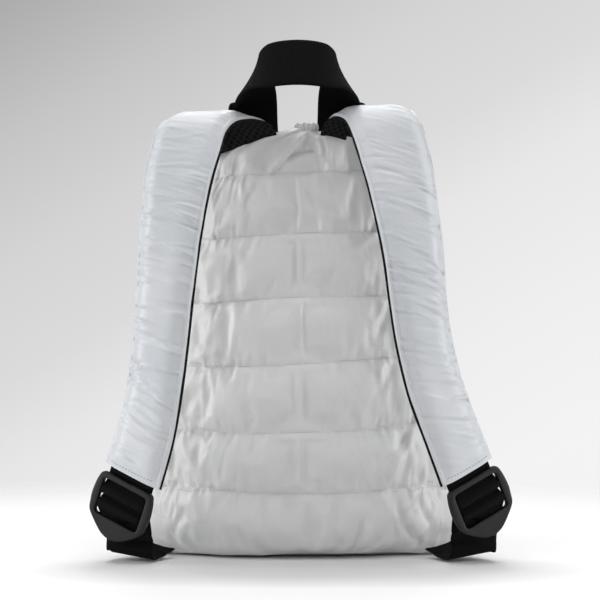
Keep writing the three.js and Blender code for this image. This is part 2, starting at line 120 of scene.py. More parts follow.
floor_radius = 1.6
floor_solid, floor_faded = 0.22, 0.5  # shares of the radius between which it fades out
floor_drop = 0.6 * mm  # the soft bottom only touches the floor here and there
bpy.ops.mesh.primitive_circle_add(
    vertices=96, radius=floor_radius, fill_type="NGON", location=(0, 0, -floor_drop)
)
floor = bpy.context.object
floor.name = "floor"
bpy.ops.object.transform_apply(location=True)
paint = bpy.data.materials.new("floor_paint")
paint.use_nodes = True
tree = paint.node_tree
tree.nodes.clear()
spot = add_node(tree, "TexCoord")["Object"]
distance = math_node(tree, "LENGTH", spot, kind="VectorMath")
fade_from, fade_to = floor_solid * floor_radius, floor_faded * floor_radius
fade = add_node(
    tree,
    "MapRange",
    {"Value": distance, "From Min": fade_from, "From Max": fade_to},
    interpolation_type="SMOOTHSTEP",
)[0]
# painted shadow: the floor is painted darker in a soft oval in front of the bag, where the bag's shade
# would fall towards the camera; its middle, its reach and its tones from its middle to its edge
painted_shadow_middle, painted_shadow_reach = (0.01, -0.125, 0), (1 / 0.24, 1 / 0.1, 0)
painted_shadow_tones = [(0.0, 0.61), (0.35, 0.64), (0.7, 0.79), (1.0, 0.93)]
from_painted_shadow = math_node(tree, "SUBTRACT", spot, painted_shadow_middle, kind="VectorMath")
from_painted_shadow = math_node(tree, "MULTIPLY", from_painted_shadow, painted_shadow_reach, kind="VectorMath")
from_painted_shadow = math_node(tree, "LENGTH", from_painted_shadow, kind="VectorMath")
# painted shadow in the floor's colour: darkest at the oval's middle, paling to the floor's own tone at its
# edge
floor_with_painted_shadow = ramp(tree, from_painted_shadow, [(stop, (pale, pale, pale)) for stop, pale in painted_shadow_tones])
matte = add_node(tree, "BsdfDiffuse", {"Color": floor_with_painted_shadow})[0]
clear = add_node(tree, "BsdfTransparent")[0]
faded = add_node(tree, "MixShader", {0: fade, 1: matte, 2: clear})[0]
add_node(tree, "OutputMaterial", {"Surface": faded})
floor.data.materials.append(paint)

# name, place, size and watts of each soft box, all aimed at the middle of the bag
aim_height = 180 * mm
for name, where, size, watts in [
    ("left_box", (-1.35, -0.3, 0.4), (0.6, 1.2), 12.4),
    ("right_box", (1.35, -0.3, 0.4), (0.6, 1.2), 10.6),
    ("front_box", (0.0, -1.9, 1.0), (1.6, 0.8), 6.0),
    ("top_box", (0.0, -0.2, 1.5), (1.3, 1.1), 9.6),
    ("back_box", (0.05, 0.75, 1.5), (0.9, 0.5), 8),
]:
    light = bpy.data.lights.new(name, "AREA")
    light.shape = "RECTANGLE"
    light.size, light.size_y = size
    light.energy = watts
    lamp = bpy.data.objects.new(name, light)
    lamp.location = where
    towards = np.array([0, 0, aim_height]) - np.array(where)
    flat = math.hypot(towards[0], towards[1])
    lamp.rotation_euler = (math.atan2(flat, -towards[2]), 0, math.atan2(-towards[0], towards[1]))
    bpy.context.collection.objects.link(lamp)

# The bag. Its wall is white nylon over soft filling, sewn through along level lines into channels, and
# it narrows upwards to a small gathered mouth. It is cut and sewn from a back panel, a front panel
# that also makes the sides, and a flat base.
bag_height = 338 * mm
bag_half_width = 126 * mm
back_depth = 59 * mm
front_depth = 72 * mm
puff = 6 * mm
crown_power = 0.6
top_fill = 0.55
stitch_pitch = 51 * mm
stitch_count = 6
back_seam = -36 * mm
wall_foot = 1.0 * mm  # the wall turns in under itself and hides the seam with the base
seam_gap = 0.3 * mm
stitch_lines = np.array([0, *(stitch_pitch * (i + 1) for i in range(stitch_count)), bag_height])

# Horizontal sections from the floor to the rim, as shares of the bag's sizes.
# up: height. wide: half width. back and front: distance from the middle. square: corner exponent.
section_columns = ("up", "wide", "back", "front", "square")
section_rows = [
    (0.0, 0.86, 0.82, 0.68, 3.8),
    (0.017, 0.95, 0.92, 0.82, 4.0),
    (0.055, 0.985, 0.98, 0.9, 3.9),
    (0.15, 1.0, 1.0, 0.96, 3.6),
    (0.295, 0.985, 0.985, 1.0, 3.2),
    (0.44, 0.945, 0.97, 1.0, 3.2),
    (0.585, 0.89, 0.95, 0.945, 3.1),
    (0.73, 0.82, 0.925, 0.82, 3.0),
    (0.835, 0.74, 0.9, 0.65, 3.0),
    (0.9, 0.67, 0.885, 0.5, 3.2),
    (0.94, 0.59, 0.875, 0.34, 3.4),
    (0.962, 0.5, 0.865, 0.2, 3.6),
    (0.976, 0.38, 0.85, 0.04, 3.4),
    (0.988, 0.235, 0.83, -0.14, 2.8),
    (1.0, 0.105, 0.8, -0.3, 2.2),
]
section = dict(zip(section_columns, np.array(section_rows).T))


def smooth(places, values, at):
    """A column of numbers as one smooth curve through its rows."""
    places, values = np.asarray(places, float), np.asarray(values, float)
    slopes = np.gradient(values) / np.gradient(places)
    k = np.clip(np.searchsorted(places, at) - 1, 0, len(places) - 2)
    step = places[k + 1] - places[k]
    t = np.clip((at - places[k]) / step, 0, 1)
    start = (1 + 2 * t) * (1 - t) ** 2 * values[k] + t * (1 - t) ** 2 * step * slopes[k]
    end = t * t * (3 - 2 * t) * values[k + 1] - t * t * (1 - t) * step * slopes[k + 1]
    return start + end


def signed_power(value, power):
    return np.sign(value) * np.abs(value) ** power


def bag_surface(angle, z, outset=0.0):
    """Points of the bag at a turn angle (-90 degrees is the middle of the back) and a height."""
    up = np.clip(z / bag_height, 0, 1)
    wide, back, front, square = (smooth(section["up"], section[c], up) for c in section_columns[1:])
    front, back = front * front_depth, -back * back_depth
    x = (wide * bag_half_width + outset) * signed_power(np.cos(angle), 2 / square)
    y = (front + back) / 2 + ((front - back) / 2 + outset) * signed_power(np.sin(angle), 2 / square)
    return np.stack([x, y, z + 0 * x], -1)


def fullness(z):
    """How full the filling is at a height: 0 on a stitch line, 1 in the middle of a channel."""
    i = np.clip(np.searchsorted(stitch_lines, z, side="right") - 1, 0, stitch_count)
    share = np.clip((z - stitch_lines[i]) / (stitch_lines[i + 1] - stitch_lines[i]), 0, 1)
    return np.sin(np.pi * share) ** crown_power * np.where(i == stitch_count, top_fill, 1)


def smoothstep(low, high, value):
    share = np.clip((value - low) / (high - low), 0, 1)
    return share * share * (3 - 2 * share)


def uneven(x, y, seed, period=512):
    """Smooth random values from -1 to 1 that change over one unit of x and y and repeat after a
    whole period of x."""
    table = np.random.default_rng(seed).uniform(-1, 1, (period, 64))
    column, row = np.floor(x).astype(int), np.floor(y).astype(int)
    a, b = smoothstep(0, 1, x - column), smoothstep(0, 1, y - row)
    values = [table[(column + i) % period, (row + k) % 64] for k in (0, 1) for i in (0, 1)]
    low = values[0] * (1 - a) + values[1] * a
    high = values[2] * (1 - a) + values[3] * a
    return low * (1 - b) + high * b


def near(value, middle, width):
    """1 at the middle, fading smoothly to nothing over about the width on both sides."""
    return np.exp(-(((value - middle) / width) ** 2))


# Where each stitch line lies on the back panel, above or below its level height, at three places
# across. The base seam and the rim stay as they are.
sag_columns = ("left", "middle", "right")
sag_places = np.array([-79, 0, 67]) * mm
sag_reach, sag_limit = 105 * mm, 8 * mm
sag_rows = mm * np.array(
    [
        (0, 0, 0),
        (4.2, 0.3, 2.7),
        (-1.9, -2.7, 1.3),
        (-2.5, 0.6, 5.4),
        (-3.9, 2.4, 3.1),
        (-4.6, 1.7, 2.5),
        (-5.2, -1.3, 0.5),
        (0, 0, 0),
    ]
)
# Height of the back panel's lower edge above the floor, and how far its top stands above the plain
# crown beside the mouth. Both are given as x and as lift at that x, in millimetres.
edge_x = mm * np.array([-126, -110, -98, -63, -31, 0, 30, 55, 75, 94, 112, 126])
edge_lift = mm * np.array([3, 5, 5, 1, 1, 2.6, 2.2, 3, 7, 3, 0, 0])
edge_fade = 45 * mm  # how far up the lift dies out
shoulder_x = mm * np.array([-90, -75, -59, -40, -20, -6, 2, 14, 23, 41, 56, 90])
shoulder_lift = mm * np.array([7, 7.5, 6, 4.6, 4.4, 2.6, 0.6, 0.6, 4, 8, 8, 3])
shoulder_start, shoulder_full = 304 * mm, 322 * mm
turn_start, turn_reach = 22 * mm, 22 * mm  # where the back panel turns round to the side
mouth_shift = 5 * mm
mouth_narrowing = 0.32
mouth_start = 322 * mm


def drawn_together(places, height):
    """Draws the top of the bag together at its mouth, a little to the right of the middle."""
    share = smoothstep(mouth_start, bag_height, height)
    places[:, 0] += share * (mouth_shift - mouth_narrowing * places[:, 0])
    return places


def facing_back(y):
    """1 on the back panel, fading to 0 round the sides."""
    return np.clip((-y - turn_start) / turn_reach, 0, 1)


def sag(x, y, z):
    """How far up the sewn lines and the lower edge shift a point of the back panel."""
    at_line = [smooth(stitch_lines, sag_rows[:, i], z) for i in range(len(sag_columns))]
    across = np.clip(x, -sag_reach, sag_reach)
    left, middle, right = at_line
    weight = [
        np.prod([(across - p) / (q - p) for p in sag_places if p != q], axis=0) for q in sag_places
    ]
    line_shift = left * weight[0] + middle * weight[1] + right * weight[2]
    edge_shift = np.interp(x, edge_x, edge_lift) * np.clip(1 - z / edge_fade, 0, 1) ** 2
    shoulder = np.interp(x, shoulder_x, shoulder_lift) * smoothstep(shoulder_start, shoulder_full, z)
    return (np.clip(line_shift, -sag_limit, sag_limit) + edge_shift + shoulder) * facing_back(y)


# Grid of the wall: closer together on the back panel, which is the side that shows.
back_spacing = 2.7 * mm
front_spacing = 4.3 * mm
channel_rows = 12
mouth_rows = 22

girth_height = 0.4 * bag_height  # where the way round the bag is measured
fine_angles = np.linspace(-np.pi, np.pi, 4001)
girth = bag_surface(fine_angles, np.full(len(fine_angles), girth_height))
steps = np.linalg.norm(np.diff(girth, axis=0), axis=1)
spacing = np.where(girth[1:, 1] < back_seam, back_spacing, front_spacing)
count = np.concatenate([[0], np.cumsum(steps / spacing)])
around_length = np.concatenate([[0], np.cumsum(steps)])
wall_columns = int(round(count[-1]))
column_angles = np.interp(np.linspace(0, count[-1], wall_columns + 1), count, fine_angles)

mouth_z = np.linspace(stitch_lines[-2], bag_height, 400)
mouth_half = smooth(section["up"], section["wide"], mouth_z / bag_height) * bag_half_width
mouth_path = np.stack([mouth_half, mouth_z])
mouth_length = np.concatenate([[0], np.cumsum(np.linalg.norm(np.diff(mouth_path, axis=1), axis=0))])
mouth_heights = np.interp(np.linspace(0, mouth_length[-1], mouth_rows + 1), mouth_length, mouth_z)
channel_heights = [
    np.linspace(low, high, channel_rows + 1)[:-1]
    for low, high in zip(stitch_lines[:-2], stitch_lines[1:-1])
]
row_heights = np.concatenate([*channel_heights, mouth_heights])
row_heights[0] = wall_foot
wall_rows = len(row_heights) - 1


def choose(piece):
    """Makes one object the selected and active one."""
    bpy.ops.object.select_all(action="DESELECT")
    piece.select_set(True)
    bpy.context.view_layer.objects.active = piece


def corners(piece, what="co"):
    """The places of a mesh's vertices, or their normals."""
    flat = np.empty(len(piece.data.vertices) * 3)
    piece.data.vertices.foreach_get(what, flat)
    return flat.reshape(-1, 3)


def move_corners(piece, places):
    piece.data.vertices.foreach_set("co", np.asarray(places, float).ravel())
    piece.data.update()


def measure(piece, name, values=None):
    """Keeps a number for each vertex with the mesh, or reads it back."""
    if values is not None:
        piece.data.attributes.new(name, "FLOAT", "POINT").data.foreach_set("value", values)
        return values
    kept = np.empty(len(piece.data.vertices))
    piece.data.attributes[name].data.foreach_get("value", kept)
    return kept


merge_reach = 0.01 * mm


def mend(piece, merge=False, fill=False):
    """Turns every face outwards, after merging doubled points or filling open ends if asked."""
    choose(piece)
    bpy.ops.object.mode_set(mode="EDIT")
    if fill:
        bpy.ops.mesh.select_mode(type="EDGE")
        bpy.ops.mesh.select_all(action="DESELECT")
        bpy.ops.mesh.select_non_manifold()
        bpy.ops.mesh.fill_holes(sides=0)
    bpy.ops.mesh.select_all(action="SELECT")
    if merge:
        bpy.ops.mesh.remove_doubles(threshold=merge_reach)
    bpy.ops.mesh.normals_make_consistent(inside=False)
    bpy.ops.object.mode_set(mode="OBJECT")


def cloth_grid(name, columns, rows, shape, closed=False):
    """A grid primitive laid onto a shape. shape turns its two shares, from 0 to 1, into places."""
    bpy.ops.mesh.primitive_grid_add(x_subdivisions=columns, y_subdivisions=rows, size=2)
    piece = bpy.context.object
    piece.name = piece.data.name = name
    flat = corners(piece)
    u, v = (flat[:, 0] + 1) / 2, (flat[:, 1] + 1) / 2
    measure(piece, "u", u)
    measure(piece, "v", v)
    move_corners(piece, shape(u, v))
    if closed:
        mend(piece, merge=True)
    return piece


def apply(piece, kind, **settings):
    """Adds a modifier with its settings and applies it."""
    bpy.context.view_layer.objects.active = piece
    made = piece.modifiers.new(kind.lower(), kind)
    for name, value in settings.items():
        setattr(made, name, value)
    bpy.ops.object.modifier_apply(modifier=made.name)


start_fill = 0.6  # how full the channels are before the filling is blown in
puff_unevenness = 0.16
puff_turns = 20  # how often it changes round the bag
side_turn = 0.24  # how much the back panel turns away beyond its flat middle
flat_middle = 58 * mm
turn_softness = 24 * mm
seam_pinch = 1.4 * mm
seam_width = 4 * mm
pleat_depth = 2.2 * mm
pleat_reach = 34 * mm
pleat_turns = ((9, 0.6), (14, 2.1), (23, 0.3))  # pleats round the mouth and where each set starts
wall_middle = 6 * mm  # y of the point that the wall turns in towards
pinch_top = 0.93 * bag_height


def pleats(angle, z):
    """The gathers that run down from the mouth and die out."""
    share = np.clip(1 - (bag_height - z) / pleat_reach, 0, 1)
    wave = sum(np.cos(n * angle + start) for n, start in pleat_turns) / len(pleat_turns)
    return pleat_depth * np.sin(np.pi * share) ** 0.7 * wave


def wall_shape(u, v):
    angle = np.interp(u * wall_columns, np.arange(wall_columns + 1), column_angles)
    z = np.interp(v * wall_rows, np.arange(wall_rows + 1), row_heights)
    turn = (angle / (2 * np.pi) + 0.5) * puff_turns
    unevenness = 1 + puff_unevenness * uneven(turn, z / stitch_pitch * 1.7, 3, puff_turns)
    fill = start_fill
    places = bag_surface(angle, z, puff * fill * fullness(z) * unevenness + pleats(angle, z))
    x, y = places[:, 0], places[:, 1]
    beyond = np.abs(x) - flat_middle
    inward = side_turn * (beyond + np.hypot(beyond, turn_softness)) / 2 * facing_back(y)
    inward = inward + seam_pinch * near(y, back_seam, seam_width) * (z < pinch_top)
    out = places[:, :2] - (0, wall_middle)
    out /= np.linalg.norm(out, axis=1)[:, None]
    places[:, :2] -= out * inward[:, None]
    places[:, 2] += sag(x, y, z)
    return drawn_together(places, z)


wall = cloth_grid("wall", wall_columns, wall_rows, wall_shape)
column_arounds = np.interp(column_angles, fine_angles, around_length)
arounds = np.interp(measure(wall, "u") * wall_columns, np.arange(wall_columns + 1), column_arounds)
measure(wall, "around", arounds)
heights = np.interp(measure(wall, "v") * wall_rows, np.arange(wall_rows + 1), row_heights)
measure(wall, "height", heights)
mend(wall, merge=True)

fill_frames = 20
fill_pressure = 3.5
fill_slack = 0.05
fill_furthest = 5.5 * mm
fill_fade, fill_top = 306 * mm, 322 * mm  # the filling's effect dies out between these heights
cloth_settings = {
    "quality": 6,
    "mass": 0.2,
    "bending_stiffness": 0.6,
    "vertex_group_mass": "sewn",
    "use_pressure": True,
    "uniform_pressure_force": fill_pressure,
    "shrink_min": -fill_slack,
}


def blow_up(piece, sewn, share):
    """Fills a cloth with pressure while its sewn vertices are held, and keeps a share of the result."""
    start = corners(piece)
    piece.vertex_groups.new(name="sewn").add([int(i) for i in np.flatnonzero(sewn)], 1, "REPLACE")
    cloth = piece.modifiers.new("filling", "CLOTH")
    cloth.point_cache.frame_start, cloth.point_cache.frame_end = 1, fill_frames
    for name, value in cloth_settings.items():
        setattr(cloth.settings, name, value)
    cloth.settings.effector_weights.gravity = 0
    for number in range(1, fill_frames + 1):
        bpy.context.scene.frame_set(number)
    bpy.context.view_layer.objects.active = piece
    bpy.ops.object.modifier_apply(modifier=cloth.name)
    bpy.context.scene.frame_set(1)
    moved = corners(piece) - start
    length = np.linalg.norm(moved, axis=1)
    limit = fill_furthest * np.tanh(length / fill_furthest) / np.maximum(length, 1e-9)
    move_corners(piece, start + moved * (share * limit)[:, None])


sewn_reach = 0.2 * mm
heights = measure(wall, "height")
line_gaps = np.min(np.abs(heights[:, None] - stitch_lines[None, 1:-1]), axis=1)
is_sewn = (line_gaps < sewn_reach) | (heights < wall_foot + sewn_reach) | (heights > row_heights[-2])
blow_up(wall, is_sewn, 1 - smoothstep(fill_fade, fill_top, heights))
apply(wall, "SUBSURF", levels=1, render_levels=1)

# Puckers along the sewn lines, and the folds of the back panel. x0, z0 to x1, z1 is a fold's line seen
# from behind, wide its half width and rise how far it stands out, all in millimetres.
pucker_spacing = 3.4 * mm
pucker_reach = 7 * mm
pucker_depth = 1.5 * mm
pucker_middle = 0.36  # their depth in the middle of the back panel, beside its sides
pucker_growth = (34 * mm, 60 * mm)  # between these distances from the middle
pucker_front = 0.8  # their depth on the front panel
line_groove = 0.7 * mm
crumple = 0.8 * mm
foot_pucker = 1.6 * mm
foot_spacing, foot_full, foot_end = 9 * mm, 9 * mm, 30 * mm
foot_plain = 3 * mm
floor_gap = 0.3 * mm
groove_width = 1.5 * mm
tuck_start = 1.0 * mm  # beside a line, where the puckers begin
tuck_change = 16 * mm  # how far up or down a pucker changes its form
cluster_spacing = 9 * mm
broad_crumple, narrow_crumple = (21 * mm, 13 * mm), (8 * mm, 11 * mm)  # across and up
# How far a fold bends aside, how far from its middle it is full, and how fast it then dies out, as
# shares of its length.
fold_bow, fold_core, fold_fade = 0.06, 0.35, 0.22
fold_rows = [
    (0, 333.5, -22, 308, 2.4, 2.8),
    (3.5, 331, -18, 307, 1.8, -1.9),
    (4, 335, -4, 323, 2.0, 2.2),
    (8, 333, 1, 321, 2.0, -2.0),
    (-12, 311.5, 11, 317.5, 2.6, 2.4),
    (-10, 316, 10, 322, 1.8, -2.0),
    (9, 320, 11, 330, 1.8, -1.7),
    (14, 332, 17, 318, 2.0, 2.2),
    (20, 331, 23, 317, 2.0, 1.8),
    (18.6, 314, 18.6, 305.5, 1.5, 1.7),
    (-24, 329, -52, 317, 6.0, 1.7),
    (-20, 326, -50, 312, 4.0, -1.0),
    (-78, 198, -62, 207, 3.0, 1.9),
    (-78, 196, -58, 197, 2.6, -1.3),
    (-84, 157, -66, 162, 3.4, 1.8),
    (-74, 252, -58, 262, 3.0, 1.7),
    (-70, 240, -52, 250, 3.4, -1.2),
    (62, 262, 46, 246, 3.0, 1.6),
    (66, 204, 58, 186, 3.4, 2.0),
    (70, 200, 62, 178, 2.6, -1.5),
    (70, 160, 60, 146, 3.4, 2.0),
    (74, 152, 58, 128, 3.0, -1.4),
    (92, 112, 72, 66, 3.4, 2.6),
    (86, 100, 64, 76, 3.0, -2.1),
    (76, 84, 60, 44, 4.0, 2.1),
    (104, 68, 80, 36, 4.4, 2.4),
    (98, 52, 74, 24, 3.6, -2.3),
    (112, 44, 88, 12, 3.6, 2.6),
    (84, 24, 96, 8, 3.2, -3.0),
    (50, 30, 44, 8, 3.0, -2.4),
    (58, 26, 56, 8, 3.2, 2.1),
    (14, 28, 10, 8, 4.0, -1.6),
    (26, 24, 34, 8, 2.6, -1.8),
    (-52, 24, -44, 8, 3.6, -2.4),
    (-30, 20, -24, 8, 3.4, 1.5),
    (-66, 22, -60, 8, 3.0, 1.8),
    (-96, 40, -86, 20, 4.0, -2.0),
    (-84, 46, -80, 28, 3.2, 1.9),
    (8, 296, 8, 40, 1.6, 0.35),
]


def fold_height(x, z):
    """The back panel's folds as one height."""
    total = 0 * x
    for row in fold_rows:
        x0, z0, x1, z1, wide, rise = np.array(row) * mm
        run = np.array([x1 - x0, z1 - z0])
        length = np.linalg.norm(run)
        run /= length
        along = (x - x0) * run[0] + (z - z0) * run[1]
        aside = -(x - x0) * run[1] + (z - z0) * run[0]
        bow = fold_bow * length * np.sin(np.pi * np.clip(along / length, 0, 1))
        past_core = np.clip(np.abs(along - length / 2) - fold_core * length, 0, None)
        total = total + rise * near(aside, bow, wide) * near(past_core, 0, fold_fade * length)
    return total


def around_noise(around, pitch, y, seed):
    """Uneven values round the bag that meet where its ends meet."""
    count = int(round(around_length[-1] / pitch))
    return uneven(around / around_length[-1] * count, y, seed, count)


def wrinkle_wall(piece):
    places = corners(piece)
    x, y, z = places.T
    around, height = measure(piece, "around"), measure(piece, "height")
    back = facing_back(y)
    beside = pucker_middle + (1 - pucker_middle) * smoothstep(*pucker_growth, np.abs(x))
    strength = beside * back + (1 - back) * pucker_front
    out = 0 * x
    for i, line in enumerate(stitch_lines[1:-1]):
        distance = height - line
        side = np.where(distance > 0, 7, 14)
        pattern = around_noise(around, pucker_spacing, side + distance / tuck_change, 11 + i)
        cluster = around_noise(around, cluster_spacing, side, 31 + i)
        reach = pucker_reach * np.clip(1 + 0.8 * cluster, 0.35, None)
        tuck = np.exp(-np.abs(distance) / reach) * (1 - near(distance, 0, tuck_start))
        out = out + pucker_depth * strength * pattern * tuck
        out = out - line_groove * near(distance, 0, groove_width)
    foot = smoothstep(wall_foot, foot_full, height) * (1 - smoothstep(foot_full, foot_end, height))
    out = out + foot_pucker * foot * around_noise(around, foot_spacing, height / foot_end, 51)
    across, up = broad_crumple
    out = out + crumple * around_noise(around, across, height / up, 61)
    across, up = narrow_crumple
    out = out + 0.5 * crumple * strength * around_noise(around, across, height / up, 62)
    out = (out + fold_height(x, z) * back) * smoothstep(0, foot_plain, height)
    places = places + corners(piece, "normal") * out[:, None]
    places[:, 2] = np.maximum(places[:, 2], floor_gap)
    move_corners(piece, places)


wrinkle_wall(wall)

# White quilted nylon: a soft satin shine, a fine plain weave and small creases, and a faint
# unevenness of tone where the filling shows through.
body_white = (0.735, 0.738, 0.728)
body_shade = (0.70, 0.708, 0.706)
patch_scale, crease_scale, weave_threads = 16.0, 75.0, 700.0
crease_relief, weave_relief = 1.2 * mm, 0.05 * mm


def group(name, inputs, outputs):
    """An empty node group with its sockets, given as (name, kind) pairs."""
    tree = bpy.data.node_groups.new(name, "ShaderNodeTree")
    for words, way in ((inputs, "INPUT"), (outputs, "OUTPUT")):
        for word, kind in words:
            tree.interface.new_socket(word, in_out=way, socket_type=kind)
    return tree, tree.nodes.new("NodeGroupInput").outputs, tree.nodes.new("NodeGroupOutput").inputs


FLOAT, VECTOR = "NodeSocketFloat", "NodeSocketVector"
creases, given, result = group("nylon_creases", [("Vector", VECTOR), ("Scale", FLOAT)], [("Height", FLOAT)])
cloudy = {"Vector": given["Vector"], "Scale": given["Scale"], "Detail": 3.0, "Distortion": 0.6}
ridge = math_node(creases, "SUBTRACT", add_node(creases, "TexNoise", cloudy)["Fac"], 0.5)
ridge = math_node(creases, "POWER", math_node(creases, "ABSOLUTE", ridge), 0.5)
creases.links.new(ridge, result["Height"])


def bands(tree, where, scale, distortion, way="X"):
    """A wave texture of even bands, as a mask."""
    inputs = {"Vector": where, "Scale": scale, "Distortion": distortion}
    return add_node(tree, "TexWave", inputs, bands_direction=way)["Fac"]


taffeta, given, result = group("plain_weave", [("Vector", VECTOR), ("Threads", FLOAT)], [("Height", FLOAT)])
waves = [bands(taffeta, given["Vector"], given["Threads"], 0.0, way) for way in ("X", "Y")]
taffeta.links.new(math_node(taffeta, "MAXIMUM", *waves), result["Height"])


def new_material(name):
    """A material with only its shader and output, and its texture coordinates."""
    material = bpy.data.materials.new(name)
    material.use_nodes = True
    tree = material.node_tree
    tree.nodes.clear()
    shader = tree.nodes.new("ShaderNodeBsdfPrincipled")
    add_node(tree, "OutputMaterial", {"Surface": shader.outputs[0]})
    return material, tree, shader, add_node(tree, "TexCoord")


def bump(tree, height, strength, distance, under=None):
    inputs = {"Height": height, "Strength": strength, "Distance": distance}
    if under is not None:
        inputs["Normal"] = under
    return add_node(tree, "Bump", inputs)["Normal"]


def noise(tree, where, scale, detail):
    return add_node(tree, "TexNoise", {"Vector": where, "Scale": scale, "Detail": detail})["Fac"]


def spread(tree, mask, low, high):
    """A mask from 0 to 1 as a value from low to high."""
    return add_node(tree, "MapRange", {"Value": mask, "To Min": low, "To Max": high})[0]


def coat(tree, shader, tone, roughness, normal, specular):
    """Sets what every one of the object's materials has."""
    look = {"Base Color": tone, "Roughness": roughness, "Normal": normal, "Specular IOR Level": specular}
    set_inputs(tree, shader, look)


def nylon(name, white, shade, roughness):
    material, tree, shader, where = new_material(name)
    patches = noise(tree, where["Object"], patch_scale, 3.0)
    tone = ramp(tree, patches, [(0.3, shade), (0.7, white)])
    shine = spread(tree, patches, roughness - 0.05, roughness + 0.08)
    creased = {"Vector": where["Object"], "Scale": crease_scale}
    woven = {"Vector": where["UV"], "Threads": weave_threads}
    relief = bump(tree, add_node(tree, "Group", creased, node_tree=creases)[0], 0.26, crease_relief)
    relief = bump(tree, add_node(tree, "Group", woven, node_tree=taffeta)[0], 0.12, weave_relief, relief)
    coat(tree, shader, tone, shine, relief, 0.55)
    set_inputs(tree, shader, {"Sheen Weight": 0.28, "Sheen Roughness": 0.4})
    return material


body_nylon = nylon("body_nylon", body_white, body_shade, 0.4)


def real_size_uv(piece, width, length):
    """Scales the UV map so that one unit is one metre."""
    layer = piece.data.uv_layers[0]
    flat = np.empty(len(layer.data) * 2)
    layer.data.foreach_get("uv", flat)
    layer.data.foreach_set("uv", (flat.reshape(-1, 2) * (width, length)).ravel())


wall_cloth_height = bag_height + 40 * mm  # along the cloth, over the shoulder to the mouth
real_size_uv(wall, around_length[-1], wall_cloth_height)


def dress(piece, material, angle, node=None):
    """Gives a piece its material and smooth shading. It rides with the bag. node is the plain form in the
    frame that it stands for."""
    piece.data.materials.append(material)
    choose(piece)
    bpy.ops.object.shade_smooth_by_angle(angle=math.radians(angle))
    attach(piece, "root")
    if node:
        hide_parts(node)


# Back panel and front panel: the wall is cut along the side seam, and each panel gets its thickness
# of filling. They ride with the bag and stand for the two plain panels of the frame.
panel_thickness = 3.6 * mm
side_seam_gap = 0.12 * mm


def cut_panel(name, keep_back, node):
    panel = wall.copy()
    panel.data = wall.data.copy()
    panel.name = panel.data.name = name
    bpy.context.collection.objects.link(panel)
    choose(panel)
    bpy.ops.object.mode_set(mode="EDIT")
    bpy.ops.mesh.select_all(action="SELECT")
    side = -1 if keep_back else 1
    bpy.ops.mesh.bisect(
        plane_co=(0, back_seam + side * side_seam_gap / 2, 0),
        plane_no=(0, 1, 0),
        clear_outer=keep_back,
        clear_inner=not keep_back,
    )
    bpy.ops.object.mode_set(mode="OBJECT")
    apply(panel, "SOLIDIFY", thickness=panel_thickness, offset=-1, use_even_offset=False)
    dress(panel, body_nylon, 50, node)
    return panel


back_panel = cut_panel("quilted_back", True, "back_panel")
front_panel = cut_panel("quilted_front", False, "front_panel")

# Thread of the quilting: one row of lockstitches along each line, sunk in its groove. Each stitch is
# a short low bead, and all of them on the wall are one mesh.
stitch_length = 2.3 * mm
stitch_step = 3.1 * mm
thread = 0.55 * mm
stitch_lift = 0.1 * mm
thread_white = (0.72, 0.72, 0.71)


def bead():
    """One stitch, lying along X: a small ball stretched to a stitch's size."""
    bpy.ops.mesh.primitive_uv_sphere_add(segments=6, ring_count=4, radius=0.5)
    ball = bpy.context.object
    places = corners(ball) * (stitch_length, thread, thread)
    faces = [tuple(face.vertices) for face in ball.data.polygons]
    bpy.data.objects.remove(ball)
    return places, faces


bead_places, bead_faces = bead()


def unit(vectors):
    return vectors / np.linalg.norm(vectors, axis=-1, keepdims=True)


def stitch_row(name, spots, runs, outs, material, slot):
    """Stitches at places, each along its run, with its top towards its out direction."""
    runs = unit(runs)
    asides = unit(np.cross(outs, runs))
    axes = np.stack([runs, asides, np.cross(runs, asides)], 1)
    places = np.einsum("pk,nkx->npx", bead_places, axes) + spots[:, None]
    firsts = range(0, len(spots) * len(bead_places), len(bead_places))
    faces = [tuple(corner + first for corner in face) for first in firsts for face in bead_faces]
    mesh = bpy.data.meshes.new(name)
    mesh.from_pydata(places.reshape(-1, 3).tolist(), [], faces)
    piece = bpy.data.objects.new(name, mesh)
    bpy.context.collection.objects.link(piece)
    dress(piece, material, 80)


def times(share, colour):
    return tuple(share * part for part in colour)


def thread_material(name, colour):
    material, tree, shader, where = new_material(name)
    twist = bands(tree, where["Object"], 900.0, 2.0)
    tone = ramp(tree, twist, [(0.2, times(0.8, colour)), (0.8, colour)])
    coat(tree, shader, tone, 0.6, bump(tree, twist, 0.3, 0.1 * mm), 0.5)
    return material


white_thread = thread_material("white_thread", thread_white)


def landed(piece, places):
    """The nearest places on a piece's surface, and the way that it faces there."""
    hits = [piece.closest_point_on_mesh(tuple(place)) for place in places]
    return np.array([hit[1][:] for hit in hits]), np.array([hit[2][:] for hit in hits])


def quilting(name, panel, wanted):
    """Stitches along every line of one panel, laid on its final surface."""
    spots, runs, outs = [], [], []
    angles = np.interp(np.arange(0, around_length[-1], stitch_step), around_length, fine_angles)
    for line in stitch_lines[1:-1]:
        level = bag_surface(angles, np.full(len(angles), line))
        level[:, 2] += sag(*level.T)
        found, facing = landed(panel, level[wanted(level[:, 1])])
        ahead = np.gradient(found, axis=0)
        reach = np.linalg.norm(ahead, axis=1)
        even = (reach > 0.3 * stitch_step) & (reach < 2 * stitch_step)  # not bunched or torn apart
        spots.append(found[even] + facing[even] * stitch_lift)
        runs.append(ahead[even])
        outs.append(facing[even])
    stitch_row(name, *map(np.concatenate, (spots, runs, outs)), white_thread, "quilted_nylon")


seam_margin = 1.5 * mm
quilting("quilting_thread_back", back_panel, lambda y: y < back_seam - seam_margin)
quilting("quilting_thread_front", front_panel, lambda y: y > back_seam + seam_margin)
bpy.data.objects.remove(wall)

